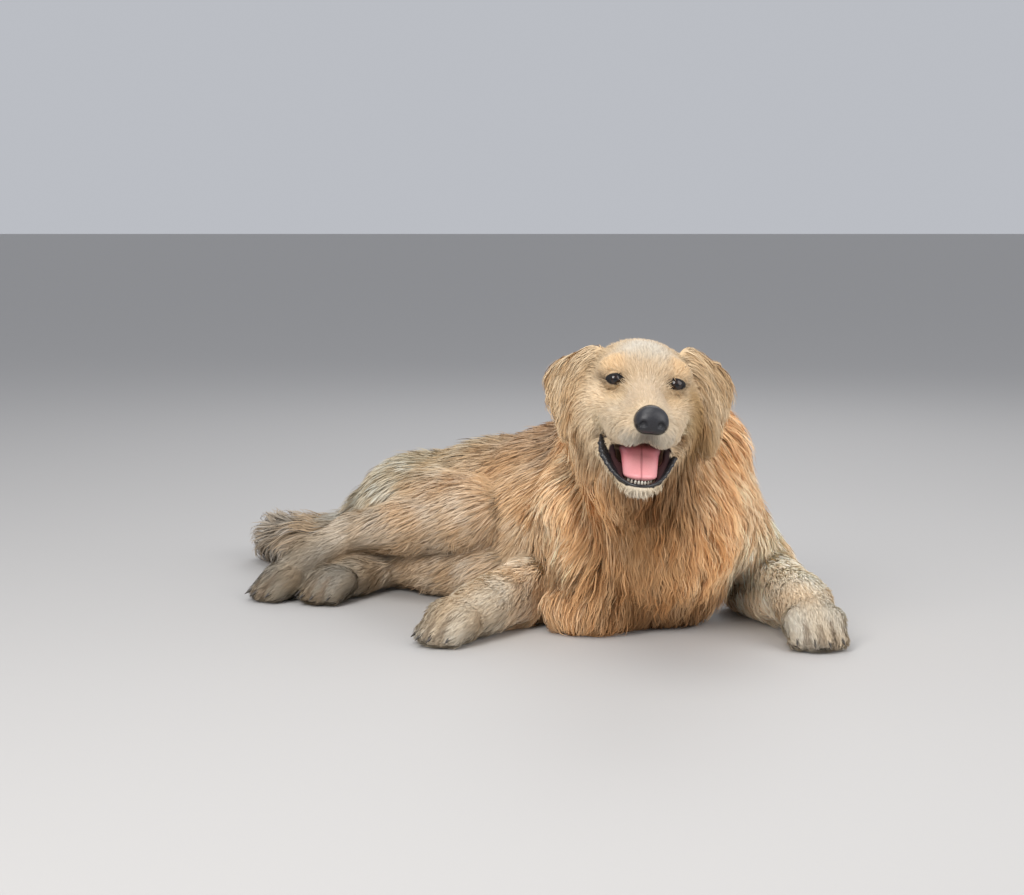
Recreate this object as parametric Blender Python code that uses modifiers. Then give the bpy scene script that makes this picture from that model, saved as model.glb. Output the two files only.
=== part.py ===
"""A life-size golden retriever lying down, as a still museum model in named body parts.

The dog rests on its chest and forelegs, looks ahead with its mouth open, and has rolled its
hindquarters onto the left hip, so that both hind legs lie out to its right.

Units are metres, +Z is up, the floor is at z = 0 and the head faces -Y. The flesh with its coat is
one blended form, made of tapered limbs and lumps between named joints. It is meshed by a voxel
Remesh over primitives, settled onto the blended form, and parted with thin cuts.
"""

import math

import bmesh
import bpy
import numpy as np
from mathutils import Matrix, Vector

# ---------------------------------------------------------------- driving dimensions
GAP = 0.0004  # clearance between neighbouring pieces
CUT = 0.0005  # thickness of the thin cuts between body parts
VOXEL = 0.0045  # cell size of the first mesh
FLAT = math.radians(1.5)  # faces that meet at less than this are made one
LEG_MARGIN = 0.005  # how far outside a leg's own form its piece is parted from the trunk
HEAD_TRIANGLES = 860  # of the head and jaw, before the cuts
BODY_TRIANGLES = 1500  # of all the rest
FLOOR = 0.0

EYE_RADIUS = 0.0115
CLAW_LENGTH = 0.019
CLAW_RADIUS = 0.0034
PAW_HALF_WIDTH = 0.030
TOE_RADIUS = 0.0128

# The head turns about the point midway between the eyes.
HEAD_PLACE = Vector((-0.034, -0.164, 0.3285))
HEAD_YAW = math.radians(1.5)
HEAD_ROLL = math.radians(5.2)
HEAD = Matrix.Translation(HEAD_PLACE) @ Matrix.Rotation(HEAD_YAW, 4, "Z") @ Matrix.Rotation(HEAD_ROLL, 4, "Y")

# Joints of the body. Left and right are the dog's own.
CHEST = Vector((-0.004, 0.075, 0.150))
RIBS = Vector((-0.105, 0.200, 0.128))
LOIN = Vector((-0.205, 0.300, 0.108))
PELVIS = Vector((-0.312, 0.365, 0.088))
RUMP = Vector((-0.378, 0.392, 0.076))
LIMBS = {
    "fore_right": [(-0.098, 0.040, 0.160), (-0.130, 0.160, 0.050), (-0.222, -0.006, 0.036), (-0.290, -0.080, 0.018)],
    "fore_left": [(0.062, 0.055, 0.155), (0.140, 0.165, 0.052), (0.175, 0.000, 0.040), (0.181, -0.114, 0.018)],
    "hind_right": [(-0.328, 0.345, 0.106), (-0.232, 0.185, 0.118), (-0.400, 0.280, 0.080), (-0.532, 0.205, 0.019)],
    "hind_left": [(-0.300, 0.365, 0.052), (-0.212, 0.185, 0.046), (-0.352, 0.302, 0.032), (-0.456, 0.172, 0.018)],
}
HIND_RADII = {"hind_right": (0.067, 0.052, 0.028), "hind_left": (0.062, 0.046, 0.026)}
TAIL = [(-0.400, 0.395, 0.058), (-0.478, 0.425, 0.042), (-0.532, 0.510, 0.036), (-0.510, 0.620, 0.016)]
TAIL_RADII = [0.036, 0.040, 0.038, 0.017]
EARS = {
    "ear_right": [(-0.056, 0.062, 0.014), (-0.077, 0.080, -0.014), (-0.074, 0.072, -0.070)],
    "ear_left": [(0.056, 0.062, 0.022), (0.083, 0.082, -0.010), (0.086, 0.074, -0.074)],
}

COLOURS = {
    "coat": (0.72, 0.50, 0.27),
    "pale_coat": (0.80, 0.64, 0.42),
    "skin_black": (0.025, 0.024, 0.026),
    "eye": (0.035, 0.018, 0.010),
    "tongue": (0.78, 0.36, 0.38),
    "claw": (0.05, 0.045, 0.04),
}


# ---------------------------------------------------------------- the blended form
def blend(a, b, width):
    """The smooth union of two distance fields, rounded over width."""
    h = np.clip(0.5 + 0.5 * (b - a) / width, 0, 1)
    return b * (1 - h) + a * h - width * h * (1 - h)


class Limb:
    """A round cone from start to end. wide stretches it across the direction side."""

    def __init__(self, start, end, r0, r1, side=None, wide=1.0):
        self.start, self.end = np.array(start, float), np.array(end, float)
        self.r0, self.r1, self.wide = r0, r1, wide
        self.side = None if side is None else np.array(Vector(side).normalized(), float)

    def distance(self, p):
        q = p - self.start
        axis = self.end - self.start
        if self.side is not None:
            q = q - np.outer(q @ self.side, self.side) * (1 - 1 / self.wide)
            axis = axis - (axis @ self.side) * self.side * (1 - 1 / self.wide)
        t = np.clip((q @ axis) / max(axis @ axis, 1e-12), 0, 1)
        return np.linalg.norm(q - np.outer(t, axis), axis=1) - (self.r0 + (self.r1 - self.r0) * t)

    def seeds(self):
        """Ellipsoids (place, matrix) along the limb, close enough to overlap."""
        length = np.linalg.norm(self.end - self.start)
        count = max(2, int(length / (0.5 * min(self.r0, self.r1))) + 1)
        stretch = Matrix.Identity(3)
        if self.side is not None:
            stretch = Matrix.Scale(self.wide, 3, Vector(self.side))
        for t in np.linspace(0, 1, min(count, 24)):
            radius = self.r0 + (self.r1 - self.r0) * t
            yield self.start + (self.end - self.start) * t, stretch * radius


class Lump:
    """An ellipsoid with three radii, turned by a matrix."""

    def __init__(self, place, radii, turn=None):
        self.place, self.radii = np.array(place, float), np.array(radii, float)
        self.turn = np.array(turn.to_3x3() if turn else Matrix.Identity(3), float)

    def distance(self, p):
        q = (p - self.place) @ self.turn
        k0 = np.linalg.norm(q / self.radii, axis=1)
        k1 = np.linalg.norm(q / self.radii**2, axis=1)
        return k0 * (k0 - 1) / np.maximum(k1, 1e-9)

    def seeds(self):
        yield self.place, Matrix(self.turn.tolist()) @ Matrix.Diagonal(Vector(self.radii))


class Form:
    """Several limbs and lumps blended together, which blend into the rest near a joint."""

    def __init__(self, parts, width, joint=None, reach=0.14, joint_width=0.04):
        self.parts, self.width = parts, width
        self.joint = None if joint is None else np.array(joint, float)
        self.reach, self.joint_width = reach, joint_width

    def distance(self, p):
        found = self.parts[0].distance(p)
        for part in self.parts[1:]:
            found = blend(found, part.distance(p), self.width)
        return found

    def width_at(self, p):
        """How far this form blends into the others: widest at its joint, and hardly at all elsewhere."""
        if self.joint is None:
            return self.joint_width
        near = np.clip(1 - np.linalg.norm(p - self.joint, axis=1) / self.reach, 0, 1)
        return 0.003 + (self.joint_width - 0.003) * near * near * (3 - 2 * near)


def in_head(x, y, z):
    """A place in the head's own axes (left, back, up), in the row frame."""
    return HEAD @ Vector((x, y, z))


def head_form():
    both = (-1, 1)
    turn = HEAD
    parts = [
        Lump(in_head(0, 0.058, -0.014), (0.060, 0.074, 0.056), turn),
        Lump(in_head(0, 0.022, 0.000), (0.046, 0.046, 0.038), turn),
        Limb(in_head(0, -0.004, -0.020), in_head(0, -0.074, -0.033), 0.025, 0.0205),
    ]
    for s in both:
        parts += [
            Lump(in_head(s * 0.029, 0.012, 0.009), (0.025, 0.024, 0.017), turn),
            Lump(in_head(s * 0.038, 0.046, -0.040), (0.030, 0.050, 0.036), turn),
            Lump(in_head(s * 0.034, 0.012, -0.030), (0.024, 0.030, 0.020), turn),
            Limb(in_head(s * 0.015, -0.074, -0.047), in_head(s * 0.029, -0.016, -0.042), 0.0175, 0.0205),
        ]
    return Form(parts, 0.013)


def jaw_form():
    parts = [
        Limb(in_head(0, 0.045, -0.082), in_head(0, -0.046, -0.117), 0.030, 0.013, HEAD.col[0].xyz, 1.3),
        Lump(in_head(0, -0.055, -0.115), (0.020, 0.014, 0.012), HEAD),
    ]
    for s in (-1, 1):
        parts.append(Limb(in_head(s * 0.037, 0.034, -0.064), in_head(s * 0.019, -0.044, -0.108), 0.021, 0.010))
    return Form(parts, 0.010, in_head(0, 0.060, -0.060), 0.075, 0.016)


def neck_form():
    parts = [
        Limb(in_head(0, 0.085, -0.050), (-0.016, 0.110, 0.205), 0.076, 0.104),
        Limb(in_head(0, 0.080, -0.110), (0.000, 0.040, 0.150), 0.060, 0.090),
        Lump((0.048, 0.075, 0.215), (0.066, 0.080, 0.070)),
    ]
    return Form(parts, 0.03)


def trunk_form():
    heading = Matrix.Rotation(math.radians(14), 4, "Z")
    roll = Matrix.Rotation(math.radians(57), 4, "Z")
    parts = [
        Lump(CHEST, (0.108, 0.120, 0.132), heading),
        Lump((0.002, -0.002, 0.125), (0.082, 0.058, 0.085)),
        Lump((-0.010, 0.080, 0.056), (0.098, 0.085, 0.072)),
        Lump((-0.030, 0.135, 0.200), (0.082, 0.090, 0.066)),
        Limb((-0.030, 0.120, 0.145), RIBS, 0.118, 0.108),
        Limb(RIBS, LOIN, 0.108, 0.096),
        Limb(LOIN, PELVIS, 0.096, 0.086),
        Limb(PELVIS, RUMP, 0.084, 0.054),
        Lump((-0.088, 0.030, 0.026), (0.060, 0.060, 0.036)),
        Lump((-0.125, 0.195, 0.055), (0.080, 0.110, 0.070), roll),
        Lump((-0.235, 0.290, 0.052), (0.075, 0.110, 0.068), roll),
    ]
    return Form(parts, 0.035)


def across(start, end):
    """The level direction across a limb that runs from start to end, towards its left."""
    return (Vector(end) - Vector(start)).cross(Vector((0, 0, 1))).normalized() * -1


def toes(wrist, tip):
    """The knuckle and tip of each of a paw's four toes, the outer ones shorter."""
    wrist, tip = Vector(wrist), Vector(tip)
    ahead = (tip - wrist).normalized()
    side = across(wrist, tip)
    for place in (-1.5, -0.5, 0.5, 1.5):
        outer = abs(place) > 1
        knuckle = tip - ahead * (0.050 if outer else 0.044) + side * place * 0.0145
        end = tip - ahead * (0.026 if outer else 0.014) + side * place * 0.0170
        knuckle.z = 0.029
        end.z = 0.0125
        yield knuckle, end


def paw_parts(wrist, tip, radius):
    """The pad and toes of a paw, from the wrist or the hind pastern to the toes' tips."""
    wrist, tip = Vector(wrist), Vector(tip)
    side = across(wrist, tip)
    heel = wrist.lerp(tip, 0.50)
    heel.z = 0.026
    parts = [
        Limb(wrist, heel, radius, 0.0235, side, 1.12),
        Lump(heel + Vector((0, 0, -0.008)), (0.030, 0.030, 0.020)),
    ]
    parts += [Limb(knuckle, end, TOE_RADIUS * 1.08, TOE_RADIUS) for knuckle, end in toes(wrist, tip)]
    return parts


def fore_form(name):
    shoulder, elbow, wrist, tip = (Vector(p) for p in LIMBS[name])
    side = across(elbow, wrist)
    inward = 1 if name.endswith("left") else -1
    parts = [
        Limb(shoulder, elbow, 0.056, 0.045, side, 1.05),
        Limb(elbow, wrist, 0.041, 0.029, side, 1.08),
        Limb(
            elbow.lerp(wrist, 0.05) - Vector((inward * 0.022, 0, 0.018)),
            elbow.lerp(wrist, 0.72) - Vector((inward * 0.026, 0, 0.020)),
            0.036,
            0.018,
        ),
    ]
    return Form(parts + paw_parts(wrist, tip, 0.0285), 0.014, shoulder.lerp(elbow, 0.35), 0.16, 0.045)


def hind_form(name, thigh, knee, hock):
    hip, stifle, heel, tip = (Vector(p) for p in LIMBS[name])
    pastern = heel.lerp(tip, 0.45)
    parts = [
        Limb(hip, stifle, thigh, knee),
        Limb(stifle, heel, knee * 0.92, hock),
        Limb(heel, pastern, hock, 0.0255),
        Limb(hip.lerp(stifle, 0.15), stifle.lerp(heel, 0.55), thigh * 0.72, knee * 0.74),
    ]
    return Form(parts + paw_parts(pastern, tip, 0.0255), 0.012, hip, 0.16, 0.04)


def tail_form():
    parts = [
        Limb(a, b, r0, r1) for a, b, r0, r1 in zip(TAIL, TAIL[1:], TAIL_RADII, TAIL_RADII[1:])
    ]
    return Form(parts, 0.012, TAIL[0], 0.08, 0.025)


def flesh_forms():
    return [
        trunk_form(),
        neck_form(),
        head_form(),
        jaw_form(),
        fore_form("fore_right"),
        fore_form("fore_left"),
        hind_form("hind_right", *HIND_RADII["hind_right"]),
        hind_form("hind_left", *HIND_RADII["hind_left"]),
        tail_form(),
    ]


def body_distance(p, forms):
    found = forms[0].distance(p)
    for form in forms[1:]:
        found = blend(found, form.distance(p), form.width_at(p))
    return found


# ---------------------------------------------------------------- meshing
def new_object(name, mesh, collection):
    made = bpy.data.objects.new(name, mesh)
    collection.objects.link(made)
    return made


def mesh_of(bm, name):
    mesh = bpy.data.meshes.new(name)
    bm.to_mesh(mesh)
    bm.free()
    return mesh


def evaluated_mesh(obj):
    """The object's mesh with its modifiers applied."""
    graph = bpy.context.evaluated_depsgraph_get()
    graph.update()
    return bpy.data.meshes.new_from_object(obj.evaluated_get(graph), depsgraph=graph)


def apply_modifiers(obj):
    mesh = evaluated_mesh(obj)
    obj.modifiers.clear()
    obj.data = mesh


def seed_mesh(forms, collection, voxel):
    """Every limb and lump as overlapping spheres, joined by a voxel Remesh."""
    bm = bmesh.new()
    for form in forms:
        for part in form.parts:
            for place, matrix in part.seeds():
                world = Matrix.Translation(Vector(place)) @ matrix.to_4x4()
                bmesh.ops.create_icosphere(bm, subdivisions=2, radius=1.02, matrix=world)
    flesh = new_object("flesh", mesh_of(bm, "flesh"), collection)
    remesh = flesh.modifiers.new("voxels", "REMESH")
    remesh.mode = "VOXEL"
    remesh.voxel_size = voxel
    apply_modifiers(flesh)
    return flesh


def vertex_places(mesh):
    places = np.empty(len(mesh.vertices) * 3, np.float32)
    mesh.vertices.foreach_get("co", places)
    return places.reshape(-1, 3).astype(float)


def edge_ends(mesh):
    ends = np.empty(len(mesh.edges) * 2, np.int32)
    mesh.edges.foreach_get("vertices", ends)
    return ends.reshape(-1, 2)


def relaxed(places, ends, share):
    """Each point moved part of the way to its neighbours' middle."""
    total = np.zeros_like(places)
    count = np.zeros(len(places))
    for a, b in ((0, 1), (1, 0)):
        np.add.at(total, ends[:, a], places[ends[:, b]])
        np.add.at(count, ends[:, a], 1)
    return places + (total / count[:, None] - places) * share


def settle(mesh, distance, rounds=7, step=0.0005, most=0.005):
    """Moves the mesh onto the surface where distance is zero."""
    places, ends = vertex_places(mesh), edge_ends(mesh)
    for turn in range(rounds):
        if turn < rounds - 2:
            places = relaxed(places, ends, 0.5)
        here = distance(places)
        slope = np.stack([distance(places + np.eye(3)[k] * step) - here for k in range(3)], axis=1) / step
        length = np.maximum(np.linalg.norm(slope, axis=1), 0.3)
        places = places - slope / length[:, None] * np.clip(here / length, -most, most)[:, None]
    mesh.vertices.foreach_set("co", places.astype(np.float32).ravel())
    mesh.update()


def thin_out(obj, triangles):
    """Collapses the mesh to about that many triangles."""
    thin = obj.modifiers.new("thin", "DECIMATE")
    thin.ratio = min(1.0, triangles / (2 * len(obj.data.polygons)))
    thin.use_collapse_triangulate = True
    apply_modifiers(obj)


def thin_region(obj, inside, triangles):
    """Collapses only the marked vertices' part of the mesh, down to about that many triangles."""
    total = sum(len(p.vertices) - 2 for p in obj.data.polygons)
    held = sum(len(p.vertices) - 2 for p in obj.data.polygons if not all(inside[v] for v in p.vertices))
    group = obj.vertex_groups.new(name="thinned")
    for index, mark in enumerate(inside):
        group.add([index], 1.0 if mark else 0.0, "REPLACE")
    thin = obj.modifiers.new("thin", "DECIMATE")
    thin.ratio = (held + triangles) / total
    thin.use_collapse_triangulate = True
    thin.vertex_group = group.name
    apply_modifiers(obj)
    obj.vertex_groups.clear()


def near_head(mesh):
    """Which vertices belong to the head and jaw."""
    middle = np.array(in_head(0, 0.020, -0.040))
    return list(np.linalg.norm(vertex_places(mesh) - middle, axis=1) < 0.125)


def stand_on_floor(obj):
    """Cuts the form off flat at the floor."""
    bm = bmesh.new()
    bm.from_mesh(obj.data)
    everything = bm.verts[:] + bm.edges[:] + bm.faces[:]
    cut = bmesh.ops.bisect_plane(
        bm, geom=everything, plane_co=(0, 0, FLOOR), plane_no=(0, 0, -1), clear_outer=True, dist=1e-6
    )
    rim = [item for item in cut["geom_cut"] if isinstance(item, bmesh.types.BMEdge)]
    bmesh.ops.holes_fill(bm, edges=rim, sides=0)
    bmesh.ops.triangulate(bm, faces=bm.faces[:])
    bmesh.ops.recalc_face_normals(bm, faces=bm.faces[:])
    obj.data = mesh_of(bm, "flesh")


# ---------------------------------------------------------------- inserts
def solid_from(name, form, voxel, triangles, collection, grow=0.0):
    """A closed solid of one form by itself, grown by a margin."""
    obj = seed_mesh([form], collection, voxel)
    obj.name = name
    settle(obj.data, lambda p: form.distance(p) - grow, rounds=5)
    thin_out(obj, triangles)
    return obj


def grown_copy(obj, margin, collection):
    """A copy of the object with its surface moved out by margin, to cut a seat with clearance."""
    copy = new_object(obj.name + "_cutter", obj.data.copy(), collection)
    mesh = copy.data
    normals = np.array([v.normal for v in mesh.vertices])
    places = vertex_places(mesh) + normals * margin
    mesh.vertices.foreach_set("co", places.astype(np.float32).ravel())
    mesh.update()
    copy.hide_render = True
    copy.display_type = "WIRE"
    return copy


def boolean(obj, tool, operation):
    """An exact boolean. If a tool that crosses itself leaves nothing, it is done again allowing for that."""
    before = obj.data.copy()
    for crossing in (False, True):
        obj.data = before.copy()
        step = obj.modifiers.new("step", "BOOLEAN")
        step.operation = operation
        step.solver = "EXACT"
        step.use_self = crossing
        step.object = tool
        apply_modifiers(obj)
        if len(obj.data.polygons):
            return
    raise RuntimeError(f"nothing is left of {obj.name}")


def make_eye(name, s, collection):
    bm = bmesh.new()
    place = HEAD @ Matrix.Translation((s * 0.0345, -0.0025, 0.0))
    bmesh.ops.create_uvsphere(bm, u_segments=10, v_segments=7, radius=EYE_RADIUS, matrix=place)
    return new_object(name, mesh_of(bm, name), collection)


def nose_form():
    parts = [
        Lump(in_head(0.002, -0.0880, -0.0335), (0.0185, 0.0135, 0.0150), HEAD),
        Lump(in_head(0.0102, -0.0885, -0.0375), (0.0115, 0.0120, 0.0115), HEAD),
        Lump(in_head(-0.0062, -0.0885, -0.0375), (0.0115, 0.0120, 0.0115), HEAD),
    ]
    return Form(parts, 0.005)


def tongue_form():
    up = HEAD.col[2].xyz
    parts = [
        Limb(in_head(0, 0.026, -0.066), in_head(0, -0.012, -0.085), 0.0200, 0.0215, up, 0.36),
        Limb(in_head(0, -0.012, -0.085), in_head(0, -0.034, -0.1005), 0.0215, 0.0185, up, 0.36),
    ]
    return Form(parts, 0.006)


def mouth_form():
    up = HEAD.col[2].xyz
    return Form([Limb(in_head(0, -0.015, -0.070), in_head(0, 0.034, -0.062), 0.026, 0.018, up, 0.5)], 0.006)


def make_ear(name, collection):
    a, b, c = (in_head(*p) for p in EARS[name])
    s = 1 if name.endswith("left") else -1
    face = HEAD.to_3x3() @ Vector((s * 0.50, -0.82, 0.18))
    parts = [Limb(a, b, 0.022, 0.034, face, 0.36), Limb(b, c, 0.034, 0.014, face, 0.42)]
    return solid_from(name, Form(parts, 0.012), 0.003, 200, collection)


def make_claw(name, toe, tip, outward, collection):
    """A tapering claw that droops towards its point, from inside the toe's end."""
    bm = bmesh.new()
    bmesh.ops.create_uvsphere(bm, u_segments=5, v_segments=4, radius=1.0)
    for vert in bm.verts:
        along = (vert.co.z + 1) / 2
        girth = CLAW_RADIUS * (1.15 - 0.75 * along)
        droop = -0.25 * CLAW_LENGTH * along * along
        vert.co = Vector((-vert.co.x * girth * 0.8, along * CLAW_LENGTH, vert.co.y * girth + droop))
    ahead = (Vector(tip) - Vector(toe)).normalized()
    ahead.z = -0.10
    turn = ahead.to_track_quat("Y", "Z").to_matrix().to_4x4()
    bmesh.ops.transform(bm, matrix=Matrix.Translation(outward) @ turn, verts=bm.verts)
    return new_object(name, mesh_of(bm, name), collection)


def make_claws(collection):
    made = []
    for limb, joints in LIMBS.items():
        wrist = joints[2] if limb.startswith("fore") else Vector(joints[2]).lerp(Vector(joints[3]), 0.45)
        for number, (knuckle, end) in enumerate(toes(wrist, joints[3]), 1):
            ahead = (end - knuckle).normalized()
            ahead.z = 0
            root = end + ahead * 0.0035 + Vector((0, 0, 0.0035))
            made.append(make_claw(f"claw_{limb}_{number}", knuckle, end, root, collection))
    return made


# ---------------------------------------------------------------- thin cuts
def slab(place, normal, across_axis, half_width, half_length, cutters):
    """A thin flat plate that parts whatever it crosses."""
    normal = Vector(normal).normalized()
    x = (Vector(across_axis) - normal * Vector(across_axis).dot(normal)).normalized()
    frame = Matrix((x, normal.cross(x), normal)).transposed().to_4x4()
    size = Matrix.Diagonal((2 * half_width, 2 * half_length, CUT, 1))
    bm = bmesh.new()
    bmesh.ops.create_cube(bm, size=1.0, matrix=Matrix.Translation(Vector(place)) @ frame @ size)
    plate = new_object("cut_slab", mesh_of(bm, "cut_slab"), cutters)
    plate.hide_render = True
    plate.display_type = "WIRE"
    return plate


def bend_normal(before, joint, after):
    """The normal of the plane that halves a bent joint, towards the first segment."""
    a, b, c = Vector(before), Vector(joint), Vector(after)
    return (a - b).normalized() - (c - b).normalized()


def loose_parts(obj):
    """Each connected part of the object as a (centre, mesh) pair; crumbs are dropped."""
    bm = bmesh.new()
    bm.from_mesh(obj.data)
    left = set(bm.verts)
    found = []
    while left:
        grown, edge = set(), [left.pop()]
        while edge:
            vert = edge.pop()
            grown.add(vert)
            for link in vert.link_edges:
                other = link.other_vert(vert)
                if other in left:
                    left.remove(other)
                    edge.append(other)
        found.append(grown)
    pieces = []
    for group in found:
        part = bm.copy()
        part.verts.ensure_lookup_table()
        keep = {vert.index for vert in group}
        bmesh.ops.delete(part, geom=[v for v in part.verts if v.index not in keep], context="VERTS")
        volume = part.calc_volume()
        centre = sum((f.calc_center_median() * f.calc_area() for f in part.faces), Vector())
        centre /= sum(f.calc_area() for f in part.faces)
        pieces.append((volume, centre, part))
    bm.free()
    pieces.sort(key=lambda item: -item[0])
    return pieces


def halve(obj, place, normal, names, cutters, half_width=0.4, half_length=0.4, across_axis=(1, 0, 0)):
    """Parts the object with one plate. names are of the side the normal points to, then the other."""
    boolean(obj, slab(place, normal, across_axis, half_width, half_length, cutters), "DIFFERENCE")
    home = obj.users_collection[0]
    pieces = loose_parts(obj)
    if len(pieces) < 2:
        raise RuntimeError(f"{obj.name} was not parted into {names}")
    for _, _, part in pieces[2:]:
        part.free()
    pieces = sorted(pieces[:2], key=lambda item: -(item[1] - Vector(place)).dot(Vector(normal)))
    bpy.data.objects.remove(obj)
    return [new_object(name, mesh_of(part, name), home) for name, (_, _, part) in zip(names, pieces)]


def part_leg(body, name, form, cutters, collection):
    """Parts one whole leg from the body along its own form, then at its joints."""
    tool = solid_from(name + "_cutter", form, 0.007, 150, cutters, LEG_MARGIN)
    tool.hide_render = True
    tool.display_type = "WIRE"
    leg = new_object(name, body.data.copy(), collection)
    boolean(leg, tool, "INTERSECT")
    boolean(body, grown_copy(tool, GAP, cutters), "DIFFERENCE")
    root, bend, wrist, tip = (Vector(p) for p in LIMBS[name])
    upper, lower = ("upper", "lower") if name.startswith("fore") else ("thigh", "shank")
    first, rest = halve(leg, bend, bend_normal(root, bend, wrist), (f"{name}_{upper}", name + "_rest"), cutters)
    normal = bend_normal(bend, wrist, tip)
    return [first] + halve(rest, wrist, normal, (f"{name}_{lower}", f"{name}_paw"), cutters, 0.09, 0.09)


def keep_largest(obj):
    """Drops the crumbs that a cut left beside the main part."""
    pieces = loose_parts(obj)
    for _, _, part in pieces[1:]:
        part.free()
    obj.data = mesh_of(pieces[0][2], obj.name)


def part_body(body, cutters):
    """Parts the head, jaw, neck, chest, belly, rump and tail."""
    axis = HEAD.col[0].xyz
    head, rest = halve(
        body, in_head(0, 0.088, -0.075), HEAD.to_3x3() @ Vector((0, -0.90, 0.43)), ("head", "rest"), cutters, 0.15, 0.14
    )
    jaw, head = halve(
        head,
        in_head(0, 0.043, -0.094),
        HEAD.to_3x3() @ Vector((0, -0.506, -0.863)),
        ("jaw", "head"),
        cutters,
        0.12,
        0.058,
        axis,
    )
    neck, rest = halve(rest, (-0.008, 0.075, 0.232), (0.05, -0.55, 0.85), ("neck", "rest"), cutters, 0.25, 0.20)
    tail_start = Vector(TAIL[0]).lerp(Vector(TAIL[1]), 0.35)
    tail, rest = halve(rest, tail_start, Vector(TAIL[1]) - Vector(TAIL[0]), ("tail", "rest"), cutters, 0.07, 0.07)
    chest, rest = halve(rest, RIBS.lerp(LOIN, 0.25), RIBS - LOIN, ("chest", "rest"), cutters)
    belly, rump = halve(rest, LOIN.lerp(PELVIS, 0.45), LOIN - PELVIS, ("belly", "rump"), cutters)
    return [head, jaw, neck, tail, chest, belly, rump]


# ---------------------------------------------------------------- finish
def add_teeth(jaw, tongue, collection, cutters):
    """Lower incisors and canines, joined to the jaw and clear of the tongue."""
    bm = bmesh.new()
    for place in (-3.4, -2.5, -1.5, -0.5, 0.5, 1.5, 2.5, 3.4):
        canine = abs(place) > 3
        tall, wide = (0.0150, 0.0034) if canine else (0.0095, 0.0019)
        y = -0.0560 + 0.0011 * place * place
        at = in_head(place * 0.0043, y, -0.1060 + (0.0025 if canine else 0))
        lean = HEAD.to_3x3().to_4x4() @ Matrix.Rotation(math.radians(18), 4, "X")
        bmesh.ops.create_cone(
            bm,
            cap_ends=True,
            segments=6,
            radius1=wide,
            radius2=wide * 0.35,
            depth=tall,
            matrix=Matrix.Translation(at) @ lean,
        )
    teeth = new_object("teeth_tool", mesh_of(bm, "teeth_tool"), collection)
    boolean(teeth, grown_copy(tongue, GAP, cutters), "DIFFERENCE")
    boolean(jaw, teeth, "UNION")
    bpy.data.objects.remove(teeth)
    keep_largest(jaw)


def give_material(obj, colour, roughness):
    material = bpy.data.materials.new(obj.name)
    material.use_nodes = True
    shader = material.node_tree.nodes["Principled BSDF"]
    shader.inputs["Base Color"].default_value = (*COLOURS[colour], 1)
    shader.inputs["Roughness"].default_value = roughness
    shader.inputs["Metallic"].default_value = 0.0
    material.diffuse_color = (*COLOURS[colour], 1)
    obj.data.materials.clear()
    obj.data.materials.append(material)


def tidy(obj):
    """Triangles only, without slivers, and the object's origin in the middle of its piece."""
    bm = bmesh.new()
    bm.from_mesh(obj.data)
    bmesh.ops.remove_doubles(bm, verts=bm.verts[:], dist=0.00005)
    bmesh.ops.dissolve_degenerate(bm, dist=0.00005, edges=bm.edges[:])
    bmesh.ops.dissolve_limit(bm, angle_limit=FLAT, verts=bm.verts[:], edges=bm.edges[:])
    bmesh.ops.triangulate(bm, faces=bm.faces[:])
    middle = sum((v.co for v in bm.verts), Vector()) / len(bm.verts)
    bmesh.ops.translate(bm, vec=-middle, verts=bm.verts)
    obj.data = mesh_of(bm, obj.name)
    obj.location = middle


def colour_of(name):
    if name.startswith("claw"):
        return "claw", 0.45
    if name.startswith("eye"):
        return "eye", 0.08
    if name == "nose":
        return "skin_black", 0.40
    if name == "tongue":
        return "tongue", 0.45
    pale = name in ("head", "jaw", "rump", "tail") or "paw" in name or "shank" in name or "thigh" in name
    return ("pale_coat" if pale else "coat"), 0.85


def centre_row(nodes):
    """Moves the whole row so that the middle of its base is the origin."""
    low, high = Vector((9, 9, 9)), Vector((-9, -9, -9))
    for obj in nodes:
        for vert in obj.data.vertices:
            place = obj.location + vert.co
            low = Vector(map(min, low, place))
            high = Vector(map(max, high, place))
    shift = Vector((-(low.x + high.x) / 2, -(low.y + high.y) / 2, -low.z))
    for obj in nodes:
        obj.location += shift
    print("shift", tuple(shift), "size", tuple(high - low))
    return shift


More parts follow.
